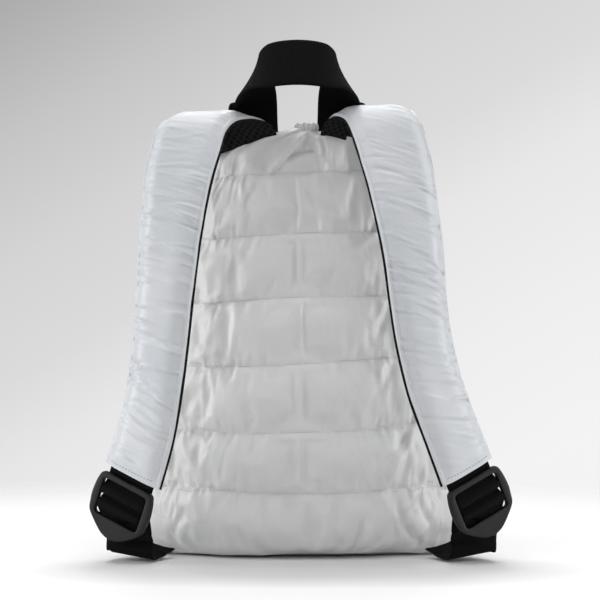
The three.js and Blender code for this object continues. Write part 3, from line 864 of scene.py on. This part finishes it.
# Base panel: a flat padded oval that the bag stands on, its edge turned up to meet the walls.
base_columns = 150
base_rows = 16
base_edge = 0.86  # share of the rows that lie flat
base_inset = 4.8 * mm  # how far its edge lies inside the wall's
base_rise = 2.4 * mm
base_thickness = 1.6 * mm
base_lump = 14 * mm  # how wide the unevenness of its quilting is
base_bulge = 0.4 * mm
base_flare = 1.2 * mm


def base_shape(u, v):
    angle = 2 * np.pi * u
    climb = np.clip((v - base_edge) / (1 - base_edge), 0, 1)
    share = np.clip(v / base_edge, 0, 1)
    z = climb**2 * base_rise
    rim = bag_surface(angle, z * 0, -base_inset + base_flare * climb)
    rim[:, :2] *= share[:, None]
    quilted = 0.5 + 0.5 * uneven(rim[:, 0] / base_lump + 50, rim[:, 1] / base_lump + 50, 5)
    rim[:, 2] = z + base_bulge * (1 - climb) * quilted * share
    rim[:, 2] += sag(*rim.T) * share**3
    return rim


base = cloth_grid("quilted_base", base_columns, base_rows, base_shape, closed=True)
real_size_uv(base, 2 * math.pi * bag_half_width, bag_half_width)
apply(base, "SOLIDIFY", thickness=base_thickness, offset=-1)
dress(base, body_nylon, 50, "base_panel")

# Mouth: the last few millimetres of the wall stand up as a tight ruffle, drawn together by hand and
# left a finger's width open.
collar_height = 7 * mm
collar_thickness = 1.0 * mm
ruffle_turns = ((17, 0.4), (26, 1.9), (39, 0.8))
ruffle_depth = 1.5 * mm
ruffle_bow, ruffle_lean, ruffle_tips = 1.2 * mm, 0.8 * mm, 0.9 * mm
ruffle_hem = 1.2 * mm
collar_columns = 280
collar_rows = 10
collar_girth = 90 * mm


def collar_shape(u, v):
    angle = 2 * np.pi * u
    wave = sum(np.cos(n * angle + start + 1.2 * v) for n, start in ruffle_turns) / len(ruffle_turns)
    lean = ruffle_bow * np.sin(np.pi * v) - ruffle_lean * v
    ruffled = lean + ruffle_depth * (0.45 + 0.55 * v) * wave
    places = bag_surface(angle, np.full(len(u), bag_height), ruffled)
    tips = ruffle_tips * v * np.cos(11 * angle) * np.cos(4 * angle + 1)
    places[:, 2] += seam_gap + v * (collar_height - ruffle_hem) + tips
    return drawn_together(places, bag_height + 0 * v)


collar = cloth_grid("mouth_ruffle", collar_columns, collar_rows, collar_shape, closed=True)
real_size_uv(collar, collar_girth, collar_height)
apply(collar, "SOLIDIFY", thickness=collar_thickness, offset=-1)
dress(collar, body_nylon, 70, "mouth_collar")

# Shoulder straps: white nylon sewn over foam, with a thin rolled edge, fine creases across and a row
# of dark stitches above the lower end. They leave the top seam, turn over the shoulder and hang
# outwards to the buckles.
pad_top_width = 55 * mm
pad_end_width = 47 * mm
pad_thickness = 8 * mm
mesh_thickness = 2.4 * mm
split_plane = -(pad_thickness - mesh_thickness) / 2
strap_steps = 300
sides = {"left": -1, "right": 1}

# out: distance from the middle, share of bag_half_width. reach: share of back_depth. up: share of
# bag_height. yaw and roll: outward turn and drop of the outer edge, in degrees. taper: 1 at
# pad_top_width, 0 at pad_end_width.
strap_columns = ("out", "reach", "up", "yaw", "roll", "taper")
left_strap_rows = [
    (0.36, 0.74, 0.965, 2, 18, 1),
    (0.42, 0.77, 1.003, 2, 13, 1),
    (0.52, 0.9, 1.026, 0, 6, 1),
    (0.612, 1.1, 1.025, 0, 1, 1),
    (0.672, 1.3, 1.0, 2, 0, 1),
    (0.708, 1.45, 0.953, 6, 0, 1),
    (0.75, 1.6, 0.89, 12, -3, 0.85),
    (0.782, 1.75, 0.81, 18, -6, 0.6),
    (0.812, 1.87, 0.706, 22, -6, 0.35),
    (0.832, 1.93, 0.612, 24, -6, 0.12),
    (0.856, 1.94, 0.513, 25, -8, 0),
    (0.894, 1.89, 0.402, 26, -13, 0),
    (0.95, 1.78, 0.304, 26, -19, 0.25),
    (1.0356, 1.63, 0.2027, 26, -25, 0.55),
]
right_strap_rows = [
    (0.345, 0.74, 0.965, 2, 12, 1),
    (0.375, 0.77, 1.008, 2, 7, 1),
    (0.425, 0.9, 1.038, 0, 1, 1),
    (0.478, 1.1, 1.04, 0, -4, 1),
    (0.525, 1.3, 1.014, 2, -5, 1),
    (0.57, 1.45, 0.96, 6, -4, 1),
    (0.618, 1.6, 0.89, 12, -4, 0.85),
    (0.658, 1.75, 0.81, 18, -6, 0.6),
    (0.7, 1.87, 0.706, 22, -7, 0.35),
    (0.725, 1.93, 0.612, 24, -8, 0.12),
    (0.762, 1.94, 0.513, 25, -13, 0),
    (0.835, 1.89, 0.402, 26, -18, 0),
    (0.935, 1.78, 0.304, 26, -22, 0),
    (1.033, 1.64, 0.211, 26, -28, 0.15),
]


def spline(points, at):
    """Places on a smooth line through points, at shares of its way from 0 to 1."""
    points = np.asarray(points, float)
    ends = np.concatenate([[2 * points[0] - points[1]], points, [2 * points[-1] - points[-2]]])
    place = np.clip(at, 0, 1) * (len(points) - 1)
    k = np.minimum(place.astype(int), len(points) - 2)
    t = (place - k)[:, None]
    a, b, c, d = (ends[k + i] for i in range(4))
    before, between, after = (
        np.linalg.norm(q - p, axis=1)[:, None] ** 0.5 for p, q in ((a, b), (b, c), (c, d))
    )
    leave = ((b - a) / before - (c - a) / (before + between) + (c - b) / between) * between
    arrive = ((c - b) / between - (d - b) / (between + after) + (d - c) / after) * between
    start = (1 + 2 * t) * (1 - t) ** 2 * b + t * (1 - t) ** 2 * leave
    return start + t * t * (3 - 2 * t) * c - t * t * (1 - t) * arrive


def on_line(at, places, values):
    """Values with three parts, at places between those that they are given for."""
    return np.stack([np.interp(at, places, np.asarray(values)[:, i]) for i in range(3)], -1)


class Stations:
    """Centres of a flat band, with the ways that it runs, lies across and faces."""

    def __init__(self, centre, run, across, face, width):
        self.centre, self.run, self.across, self.face, self.width = centre, run, across, face, width
        self.length = np.concatenate([[0], np.cumsum(np.linalg.norm(np.diff(centre, axis=0), axis=1))])

    def at(self, v, what):
        """One of the station's values at shares of the band's real length."""
        values = getattr(self, what)
        wanted = np.asarray(v) * self.length[-1]
        if values.ndim == 1:
            return np.interp(wanted, self.length, values)
        return on_line(wanted, self.length, values)

    def place(self, v, across, out):
        aside = self.at(v, "across") * across[:, None]
        return self.at(v, "centre") + aside + self.at(v, "face") * out[:, None]


def strap_stations(side, rows):
    table = dict(zip(strap_columns, np.array(rows, float).T))
    share = np.linspace(0, 1, strap_steps + 1)
    rows_at = np.linspace(0, 1, len(rows))
    x, y, z = side * table["out"] * bag_half_width, -table["reach"] * back_depth, table["up"] * bag_height
    centre = spline(np.stack([x, y, z], -1), share)
    yaw, roll, taper = (smooth(rows_at, table[c], share) for c in ("yaw", "roll", "taper"))
    turn, drop = np.tan(np.radians(yaw)), np.tan(np.radians(roll))
    across = unit(np.stack([1 + 0 * turn, side * turn, -side * drop], -1))
    tangent = unit(np.gradient(centre, axis=0, edge_order=2))
    face = unit(np.cross(tangent, across))
    width = pad_end_width + (pad_top_width - pad_end_width) * taper
    return Stations(centre, np.cross(across, face), across, face, width)


straps = {"left": strap_stations(-1, left_strap_rows), "right": strap_stations(1, right_strap_rows)}

roll_width = 2.4 * mm
roll_height = 3.0 * mm
rise_width = 5.5 * mm
hem_depth, hem_place, hem_width = 0.5 * mm, 0.5 * mm, 0.8 * mm  # the groove beside the rolled edge
top_columns = 44
under_columns = 10
strap_rows = 430
cutter_columns, cutter_rows = 112, 60
end_taper = 13 * mm  # how far from its lower end a pad is pressed thin
end_thickness = 0.42
edge_wobble, wobble_length = 0.35 * mm, 16 * mm
crease_count = 230
crease_depth = 1.35 * mm
middle_depth = 0.6  # share of the depth that a crease away from the edges has
edge_chances = (0.42, 0.42, 0.16)  # that a crease starts at the inner or outer edge, or between them
crease_edge, crease_stray = 0.66, 0.22  # where its middle lies, in shares of the strap's half width
crease_reach, crease_width = (6, 18), (0.8, 1.9)  # millimetres
crease_tilt = 0.14
top_creasing = 0.3  # share of the depth over the shoulder
ripple_length, ripple_height = 2.4 * mm, 0.36 * mm
seam_place, seam_depth = 5.8 * mm, 0.3 * mm
strap_slants = {"left": -0.12, "right": 0.42}  # lengthwise run of a crease for each unit across


def cover_profile(u, half):
    """Across and out for a share of the way round a cover's section: over the top and back below."""
    top = top_columns / (top_columns + under_columns)
    over = np.clip(u / top, 0, 1)
    back = np.clip((u - top) / (1 - top), 0, 1)
    share = np.where(u <= top, -np.cos(np.pi * over), 1 - 2 * back)
    edge = half * (1 - np.abs(share))
    rolled = roll_height * np.sqrt(np.clip(1 - (1 - np.clip(edge / roll_width, 0, 1)) ** 2, 0, 1))
    inner = np.clip(edge - roll_width, 0, None)
    rise = (pad_thickness - roll_height) * (1 - np.exp(-((inner / rise_width) ** 1.5)))
    groove = hem_depth * near(inner, hem_place, hem_width) * np.clip(edge / roll_width, 0, 1)
    return share * half, np.where(u <= top, rolled + rise - groove, 0), u < top, edge


def strap_creases(seed, slant, length, half, across, along):
    """Fine creases across a strap, most of them starting at its edges."""
    chance = np.random.default_rng(seed)
    total = 0 * along
    pulled = top_creasing + (1 - top_creasing) * smoothstep(0.15, 0.42, along / length)
    for _ in range(crease_count):
        middle_along = chance.uniform(0.02, 0.97) * length
        edge = chance.choice([-1, 1, 0], p=edge_chances)
        middle_across = edge * half * crease_edge + chance.uniform(-crease_stray, crease_stray) * half
        reach = chance.uniform(*crease_reach) * mm
        wide = chance.uniform(*crease_width) * mm
        tilt = slant + chance.normal(0, crease_tilt)
        depth = crease_depth * chance.uniform(-1, 1) * (1 if edge else middle_depth)
        away = along - middle_along - tilt * (across - middle_across)
        total = total + depth * near(away, 0, wide) * near(across, middle_across, reach)
    return total * pulled


def seam_ripples(edge, along, seed):
    """Tiny gathers beside the rolled edge, where the cover is sewn down."""
    ripple = uneven(along / ripple_length, 0 * along, seed) * near(edge, seam_place, ripple_length)
    return ripple_height * ripple - seam_depth * near(edge, seam_place, hem_width)


def end_press(from_end):
    """How thick a pad is near its lower end, where it is pressed flat and sewn across."""
    return end_thickness + (1 - end_thickness) * smoothstep(0, end_taper, from_end)


strap_white = (0.605, 0.622, 0.648)
strap_shade = (0.565, 0.585, 0.615)
strap_nylon = nylon("strap_nylon", strap_white, strap_shade, 0.38)
sewn_depth = 1.2 * mm  # how far a sewn end dips into the bag's surface


def cutter_shape(u, v):
    """The bag's outside, a little smaller, as a closed form that trims what is sewn to the bag."""
    z = v * bag_height
    places = bag_surface(2 * np.pi * u, z, puff * fullness(z) - sewn_depth)
    places[:, 2] -= np.where(v == 1, sewn_depth, 0)
    return places


cutter = cloth_grid("bag_cutter", cutter_columns, cutter_rows, cutter_shape, closed=True)
mend(cutter, fill=True)


def sewn_band(name, columns, rows, shape, size, trimmed=True):
    """A tube with closed ends. size is its UV map's real size. It ends at the bag's surface if trimmed."""
    piece = cloth_grid(name, columns, rows, shape, closed=True)
    mend(piece, fill=True)
    real_size_uv(piece, *size)
    if trimmed:
        apply(piece, "BOOLEAN", operation="DIFFERENCE", object=cutter, solver="EXACT")
    return piece


def strap_cover(word):
    stations, side = straps[word], sides[word]
    length = stations.length[-1]

    def shape(u, v):
        half = stations.at(v, "width") / 2
        along = v * length
        across, out, on_top, edge = cover_profile(u, half)
        out = out * end_press(length - along)
        slant = side * strap_slants[word]
        creased = strap_creases(7 + side, slant, length, half.mean(), across, along)
        creased = creased + seam_ripples(edge, along, 91)
        inside = np.clip(edge / (2.5 * mm), 0, 1) * on_top
        out = out + creased * inside * np.clip((length - along) / end_taper, 0.15, 1)
        wobble = edge_wobble * uneven(along / wobble_length, 0 * along, 17 + side)
        return stations.place(v, across + wobble, split_plane + seam_gap / 2 + out)

    columns, size = top_columns + under_columns, (2.2 * pad_end_width, length)
    cover = sewn_band("strap_pad_" + word, columns, strap_rows, shape, size)
    dress(cover, strap_nylon, 60, "strap_cover_" + word)
    return cover


covers = {word: strap_cover(word) for word in straps}

# The stitch row above each strap's lower end, in grey thread.
end_row = 4.2 * mm
end_step = 2.9 * mm
row_margin = 4.5 * mm
grey_thread = thread_material("grey_thread", (0.16, 0.17, 0.2))


def end_stitches(word):
    stations = straps[word]
    half = pad_end_width / 2 - row_margin
    across = np.arange(-half, half, end_step)
    v = np.full(len(across), 1 - end_row / stations.length[-1])
    out = split_plane + seam_gap / 2 + pad_thickness * end_press(end_row)
    spots, outs = landed(covers[word], stations.place(v, across, np.full(len(across), out)))
    stitch_row("end_stitches_" + word, spots, stations.at(v, "across"), outs, grey_thread, "strap_nylon")


for word in straps:
    end_stitches(word)

# Strap backings: black spacer mesh sewn under each pad, seen as a thin dark line along the inner edge
# and from below where the straps turn over the shoulder.
mesh_black = (0.005, 0.005, 0.0055)
# painted shade: the near-black that the mesh's holes are painted with, standing in for the shade inside its
# open cells
hole_shade_black = (0.002, 0.002, 0.002)
backing_inner, backing_outer = 1.3 * mm, 0.5 * mm  # how far it stands out past the cover's two edges
backing_edge = 1.1 * mm
backing_columns = 48


def flat_band(u, half, thickness, edge):
    """Section of a band: out along its top, round one edge and back along its underside."""
    over = np.where(u < 0.5, u * 2, 2 - u * 2)
    across = half * (2 * over - 1)
    from_edge = np.clip((half - np.abs(across)) / edge, 0, 1)
    rounded = np.sqrt(np.clip(1 - (1 - from_edge) ** 2, 0, 1))
    return across, np.where(u < 0.5, 1, -1) * rounded * thickness / 2


def spacer_mesh(name):
    material, tree, shader, where = new_material(name)
    turned = {"Vector": where["UV"], "Scale": (330, 200, 1), "Rotation": (0, 0, 0.6)}
    cells = {"Vector": add_node(tree, "Mapping", turned)[0], "Scale": 1.0, "Randomness": 0.12}
    from_hole = add_node(tree, "TexVoronoi", cells)["Distance"]
    # painted shade in the holes: darkest at each cell's middle, the mesh's own black on its threads
    tone = ramp(tree, from_hole, [(0.18, hole_shade_black), (0.5, times(3, mesh_black))])
    coat(tree, shader, tone, 0.85, bump(tree, from_hole, 0.9, 0.9 * mm), 0.15)
    return material


backing_mesh = spacer_mesh("backing_mesh")


def strap_backing(word):
    stations = straps[word]

    def shape(u, v):
        half = stations.at(v, "width") / 2 + (backing_inner + backing_outer) / 2
        across, out = flat_band(u, half, mesh_thickness, backing_edge)
        across = across - sides[word] * (backing_inner - backing_outer) / 2
        return stations.place(v, across, out + split_plane - seam_gap / 2 - mesh_thickness / 2)

    size = (2 * pad_end_width, stations.length[-1])
    backing = sewn_band("strap_mesh_" + word, backing_columns, strap_rows, shape, size)
    dress(backing, backing_mesh, 60, "strap_backing_" + word)


for word in straps:
    strap_backing(word)

# Buckles: ladder locks moulded in one piece from charcoal plastic, a rounded frame with a wide window,
# two inner bars and a lifting tongue.
web_width = 40 * mm
web_thickness = 1.6 * mm
web_clearance = 0.3 * mm
window_play = 0.45 * mm
window_length = 29.5 * mm
side_bar = 6.55 * mm
top_bar = 4.5 * mm
tongue_length = 15 * mm
buckle_thickness = 5 * mm
bar_diameter = 3.4 * mm
bar_shares = (0.325, 0.69)
bar_offset = -0.5 * mm
relief_depth = 0.8 * mm
buckle_drop = 5.3 * mm
frame_columns, frame_rows, bar_sides = 200, 24, 28
window_corner = 14  # how square the window's corners are
frame_corner = 0.35  # how square the frame's section is, 1 for round
tongue_thinning = 0.42
tongue_lift = 1.6 * mm
dish_depth = 0.5 * mm
window_half = web_width / 2 + window_play
window_end = top_bar + window_length
buckle_half = window_half + side_bar
buckle_length = window_end + tongue_length
window_middle = (top_bar + window_end) / 2
bar_centres = [top_bar + share * window_length for share in bar_shares]

# Half of the outline. out: share of the half width. down: share of the length.
outline_rows = [
    (0.0, 0.0),
    (0.66, 0.0),
    (0.86, 0.025),
    (0.935, 0.12),
    (0.985, 0.27),
    (1.0, 0.42),
    (0.975, 0.54),
    (0.92, 0.68),
    (0.64, 0.84),
    (0.3, 0.965),
    (0.0, 1.0),
]
plastic_tone = (0.003, 0.0032, 0.0036)


class BuckleFrame:
    """Where a buckle sits below its strap: u along its bars, v down from its top edge, w out of it."""

    def __init__(self, stations):
        self.across, self.run, self.face = stations.across[-1], stations.run[-1], stations.face[-1]
        self.origin = stations.centre[-1] + self.run * buckle_drop

    def place(self, u, v, w):
        parts = (np.asarray(part, float)[..., None] for part in (u, v, w))
        return self.origin + sum(part * way for part, way in zip(parts, (self.across, self.run, self.face)))


buckle_frames = {word: BuckleFrame(stations) for word, stations in straps.items()}


def outline_radius(angle):
    """Distance of the outline from the window's middle, in a direction."""
    half = np.array(outline_rows) * (buckle_half, buckle_length)
    path = np.concatenate([half, half[-2:0:-1] * (-1, 1)])
    path = spline(np.concatenate([path, path[:1]]), np.linspace(0, 1, 600)) - (0, window_middle)
    full_turn = 2 * np.pi
    path_angle = np.unwrap(np.arctan2(path[:, 1], path[:, 0])) % full_turn
    order = np.argsort(path_angle)
    radius = np.linalg.norm(path, axis=1)
    return np.interp(angle % full_turn, path_angle[order], radius[order], period=full_turn)


def window_radius(angle):
    """Distance of the window's edge from its middle, in a direction."""
    wide = np.abs(np.cos(angle) / window_half) ** window_corner
    long = np.abs(np.sin(angle) / (window_length / 2)) ** window_corner
    return (wide + long) ** (-1 / window_corner)


def buckle(word):
    frame_at = buckle_frames[word]

    def shape(u, v):
        angle, turn = 2 * np.pi * u, 2 * np.pi * v
        inner, outer = window_radius(angle), outline_radius(angle)
        share = 0.5 - 0.5 * signed_power(np.cos(turn), frame_corner)
        lift = signed_power(np.sin(turn), frame_corner)
        radius = inner + (outer - inner) * share
        x, y = radius * np.cos(angle), window_middle + radius * np.sin(angle)
        tongue = np.clip((y - window_end) / tongue_length, 0, 1)
        thickness = buckle_thickness * (1 - tongue_thinning * tongue)
        dish = dish_depth * np.sin(np.pi * share) * (lift > 0) * np.clip(tongue * 4, 0, 1)
        w = lift * thickness / 2 + tongue_lift * tongue**1.6 - dish
        behind_top = (lift < 0) & (y < top_bar) & (np.abs(x) < window_half)
        w = np.where(behind_top, np.maximum(w, -buckle_thickness / 2 + relief_depth), w)
        return frame_at.place(x, y, w)

    piece = cloth_grid("ladder_lock_" + word, frame_columns, frame_rows, shape, closed=True)
    radius, depth = bar_diameter / 2, 2 * window_half + side_bar
    for centre in bar_centres:
        bpy.ops.mesh.primitive_cylinder_add(vertices=bar_sides, radius=radius, depth=depth)
        bar = bpy.context.object
        flat = corners(bar)
        move_corners(bar, frame_at.place(flat[:, 2], centre + flat[:, 1], bar_offset + flat[:, 0]))
        mend(bar)
        apply(piece, "BOOLEAN", operation="UNION", object=bar, solver="EXACT")
        bpy.data.objects.remove(bar)
    piece.data.materials.clear()
    dress(piece, buckle_plastic, 40, "buckle_" + word)


def moulded_plastic(name):
    material, tree, shader, where = new_material(name)
    grain = noise(tree, where["Object"], 1800.0, 2.0)
    wear = noise(tree, where["Object"], 60.0, 3.0)
    tone = ramp(tree, wear, [(0.35, plastic_tone), (0.75, times(1.5, plastic_tone))])
    coat(tree, shader, tone, spread(tree, wear, 0.36, 0.5), bump(tree, grain, 0.12, 0.1 * mm), 0.3)
    return material


buckle_plastic = moulded_plastic("buckle_plastic")
for word in straps:
    buckle(word)

# Webbing: black ribbed polyester, 40 mm wide. One length loops from each strap's end round the
# buckle's upper bar, and one comes from behind the buckle over its lower bar down to the bag's corner.
web_black = (0.0012, 0.0012, 0.0013)
rib_pitch = 1.7 * mm
rib_depth = 0.14 * mm
web_edge = 0.5 * mm
edge_reach = 1.2 * mm  # how far in from the edges the ribs fade
rows_per_rib = 4
web_columns = 28
web_layer = web_thickness + web_clearance
wrap_radius = bar_diameter / 2 + web_clearance + web_thickness / 2


def ribbed_webbing(name):
    material, tree, shader, where = new_material(name)
    across, along = bands(tree, where["UV"], 260.0, 0.4), bands(tree, where["UV"], 185.0, 0.3, "Y")
    both = math_node(tree, "MULTIPLY", across, along)
    tone = ramp(tree, both, [(0.1, web_black), (0.8, times(2.1, web_black))])
    coat(tree, shader, tone, 0.8, bump(tree, both, 0.5, 0.25 * mm), 0.12)
    return material


webbing = ribbed_webbing("webbing")


def web_stations(points, hints, steps):
    """Stations of webbing through points, each with a hint of where its width runs."""
    share = np.linspace(0, 1, steps + 1)
    centre = spline(points, share)
    hint = on_line(share * (len(points) - 1), np.arange(len(points)), hints)
    run = unit(np.gradient(centre, axis=0, edge_order=2))
    across = unit(hint - run * np.sum(hint * run, axis=1)[:, None])
    return Stations(centre, run, across, np.cross(run, across), np.full(steps + 1, web_width))


def web_band(name, stations, thickness, node, trimmed=True):
    length = stations.length[-1]
    rows = int(round(length / rib_pitch)) * rows_per_rib

    def shape(u, v):
        across, out = flat_band(u, web_width / 2, thickness, web_edge)
        ribs = rib_depth * np.sin(2 * np.pi * v * length / rib_pitch)
        edge = np.clip((web_width / 2 - np.abs(across)) / edge_reach, 0, 1)
        return stations.place(v, across + 0.3 * ribs * (1 - edge), out + ribs * np.sign(out) * edge)

    piece = sewn_band(name, 2 * web_columns, rows, shape, (2 * web_width, length), trimmed)
    dress(piece, webbing, 70, node)


def wrap(bar_centre, start, end):
    """Webbing round an inner bar, from one angle to another in degrees. 0 is in front, 90 below."""
    angles = np.radians(np.linspace(start, end, round(abs(end - start) / 45) + 1))
    return [
        (0, bar_centre + wrap_radius * math.sin(a), bar_offset + wrap_radius * math.cos(a)) for a in angles
    ]


def loop_route():
    """The strap's loop: behind the top bar, round the upper bar and back behind its first layer."""
    first = relief_depth - buckle_thickness / 2 - web_clearance - web_thickness / 2
    second = first - web_layer
    start = web_clearance - buckle_drop
    return [
        (0, start, first),
        (0, 0, first),
        (0, top_bar + web_thickness, first),
        *wrap(bar_centres[0], -45, 180),
        (0, top_bar, second),
        (0, 0, second),
        (0, start, second),
    ]


# The free tail behind the buckle, up and over into the slot between the bars. aside and below: from
# the lower bar, shares of the webbing's width. behind: from the bar's centre, in layers of webbing.
tail_rows = [
    (0.25, 0.46, 5.4),
    (0.17, 0.3, 5.4),
    (0.08, 0.14, 5.3),
    (0.02, 0.0, 5.0),
    (0.0, -0.12, 4.1),
    (0.0, -0.155, 2.7),
    (0.0, -0.125, 1.3),
]
# Behind the tongue, turning level. inner: towards the bag, share of the webbing's width. down: past the
# window, share of the tongue. behind: in layers of webbing. level: how far it has turned, in degrees.
pass_rows = [(0.07, 0.0, 0.5, 12), (0.24, 0.3, 1.0, 24)]

# From the buckle down, round a fold near the floor and back to the bag's lower corner.
# out: share of bag_half_width, for each side. reach: share of back_depth. up: share of web_width.
# yaw: outward turn of the width in degrees. rise: how far its outer edge lies higher.
corner_columns = ("left", "right", "reach", "up", "yaw", "rise")
corner_rows = [
    (1.06, 1.08, 1.25, 0.42, 24, 8),
    (1.055, 1.07, 1.25, 0.22, 24, 8),
    (1.04, 1.05, 1.17, 0.12, 22, 8),
    (1.01, 1.01, 1.0, 0.12, 10, 6),
    (0.97, 0.97, 0.82, 0.2, -4, 3),
    (0.9, 0.9, 0.62, 0.28, -12, 0),
    (0.8, 0.8, 0.42, 0.32, -18, 0),
]


def adjuster_points(word):
    side = sides[word]
    frame_at = buckle_frames[word]
    bar = bar_centres[1]
    behind = -buckle_thickness / 2 - web_clearance - web_thickness
    route = [
        (-side * aside * web_width, bar + below * web_width, bar_offset - layers * web_layer)
        for aside, below, layers in tail_rows
    ]
    route += wrap(bar, -90, 45)
    hints = [frame_at.across] * len(route)
    for inner, down, layers, level in pass_rows:
        level = math.radians(level)
        below = window_end + down * tongue_length
        route.append((-side * inner * web_width, below, behind - layers * web_thickness))
        hints.append(frame_at.across * math.cos(level) + side * frame_at.run * math.sin(level))
    points = [frame_at.place(*stop) for stop in route]
    for row in corner_rows:
        corner = dict(zip(corner_columns, row))
        turn, lift = math.radians(corner["yaw"]), math.radians(corner["rise"])
        x, y = side * corner[word] * bag_half_width, -corner["reach"] * back_depth
        points.append((x, y, corner["up"] * web_width))
        hints.append((math.cos(turn), side * math.sin(turn), side * math.sin(lift)))
    return points, hints


for word, frame_at in buckle_frames.items():
    points = [frame_at.place(*stop) for stop in loop_route()]
    line = web_stations(points, [frame_at.across] * len(points), 200)
    web_band("strap_loop_web_" + word, line, web_thickness, "strap_loop_" + word, trimmed=False)
    line = web_stations(*adjuster_points(word), 400)
    web_band("adjuster_web_" + word, line, web_thickness, "adjuster_" + word)

# Carrying handle: one length of the same webbing, its two legs sewn down behind the strap ends and
# its crown turned to face the wearer.
handle_thickness = 2 * mm
handle_shift = -2 * mm
# Half of it, from the middle of the crown to the sewn end. lean and turn: where the lower edge points.
handle_rows = [
    (0.0, 1.27, 1.152, 22, 90),
    (0.17, 1.25, 1.145, 24, 80),
    (0.262, 1.14, 1.131, 36, 60),
    (0.3, 0.93, 1.105, 48, 45),
    (0.278, 0.71, 1.083, 66, 18),
    (0.285, 0.59, 1.035, 80, 3),
    (0.275, 0.57, 0.965, 86, 0),
]


def handle_station(row, side):
    out, reach, up, lean, turn = row
    lean, turn = math.radians(lean), math.radians(turn)
    centre = (side * out * bag_half_width + handle_shift, -reach * back_depth, up * bag_height)
    lower = (side * math.sin(lean) * math.cos(turn), -math.sin(lean) * math.sin(turn), -math.cos(lean))
    return centre, lower


whole_handle = [handle_station(row, -1) for row in handle_rows[:0:-1]]
whole_handle += [handle_station(row, 1) for row in handle_rows]
web_band("grab_handle", web_stations(*zip(*whole_handle), 400), handle_thickness, "handle")
bpy.data.objects.remove(cutter)
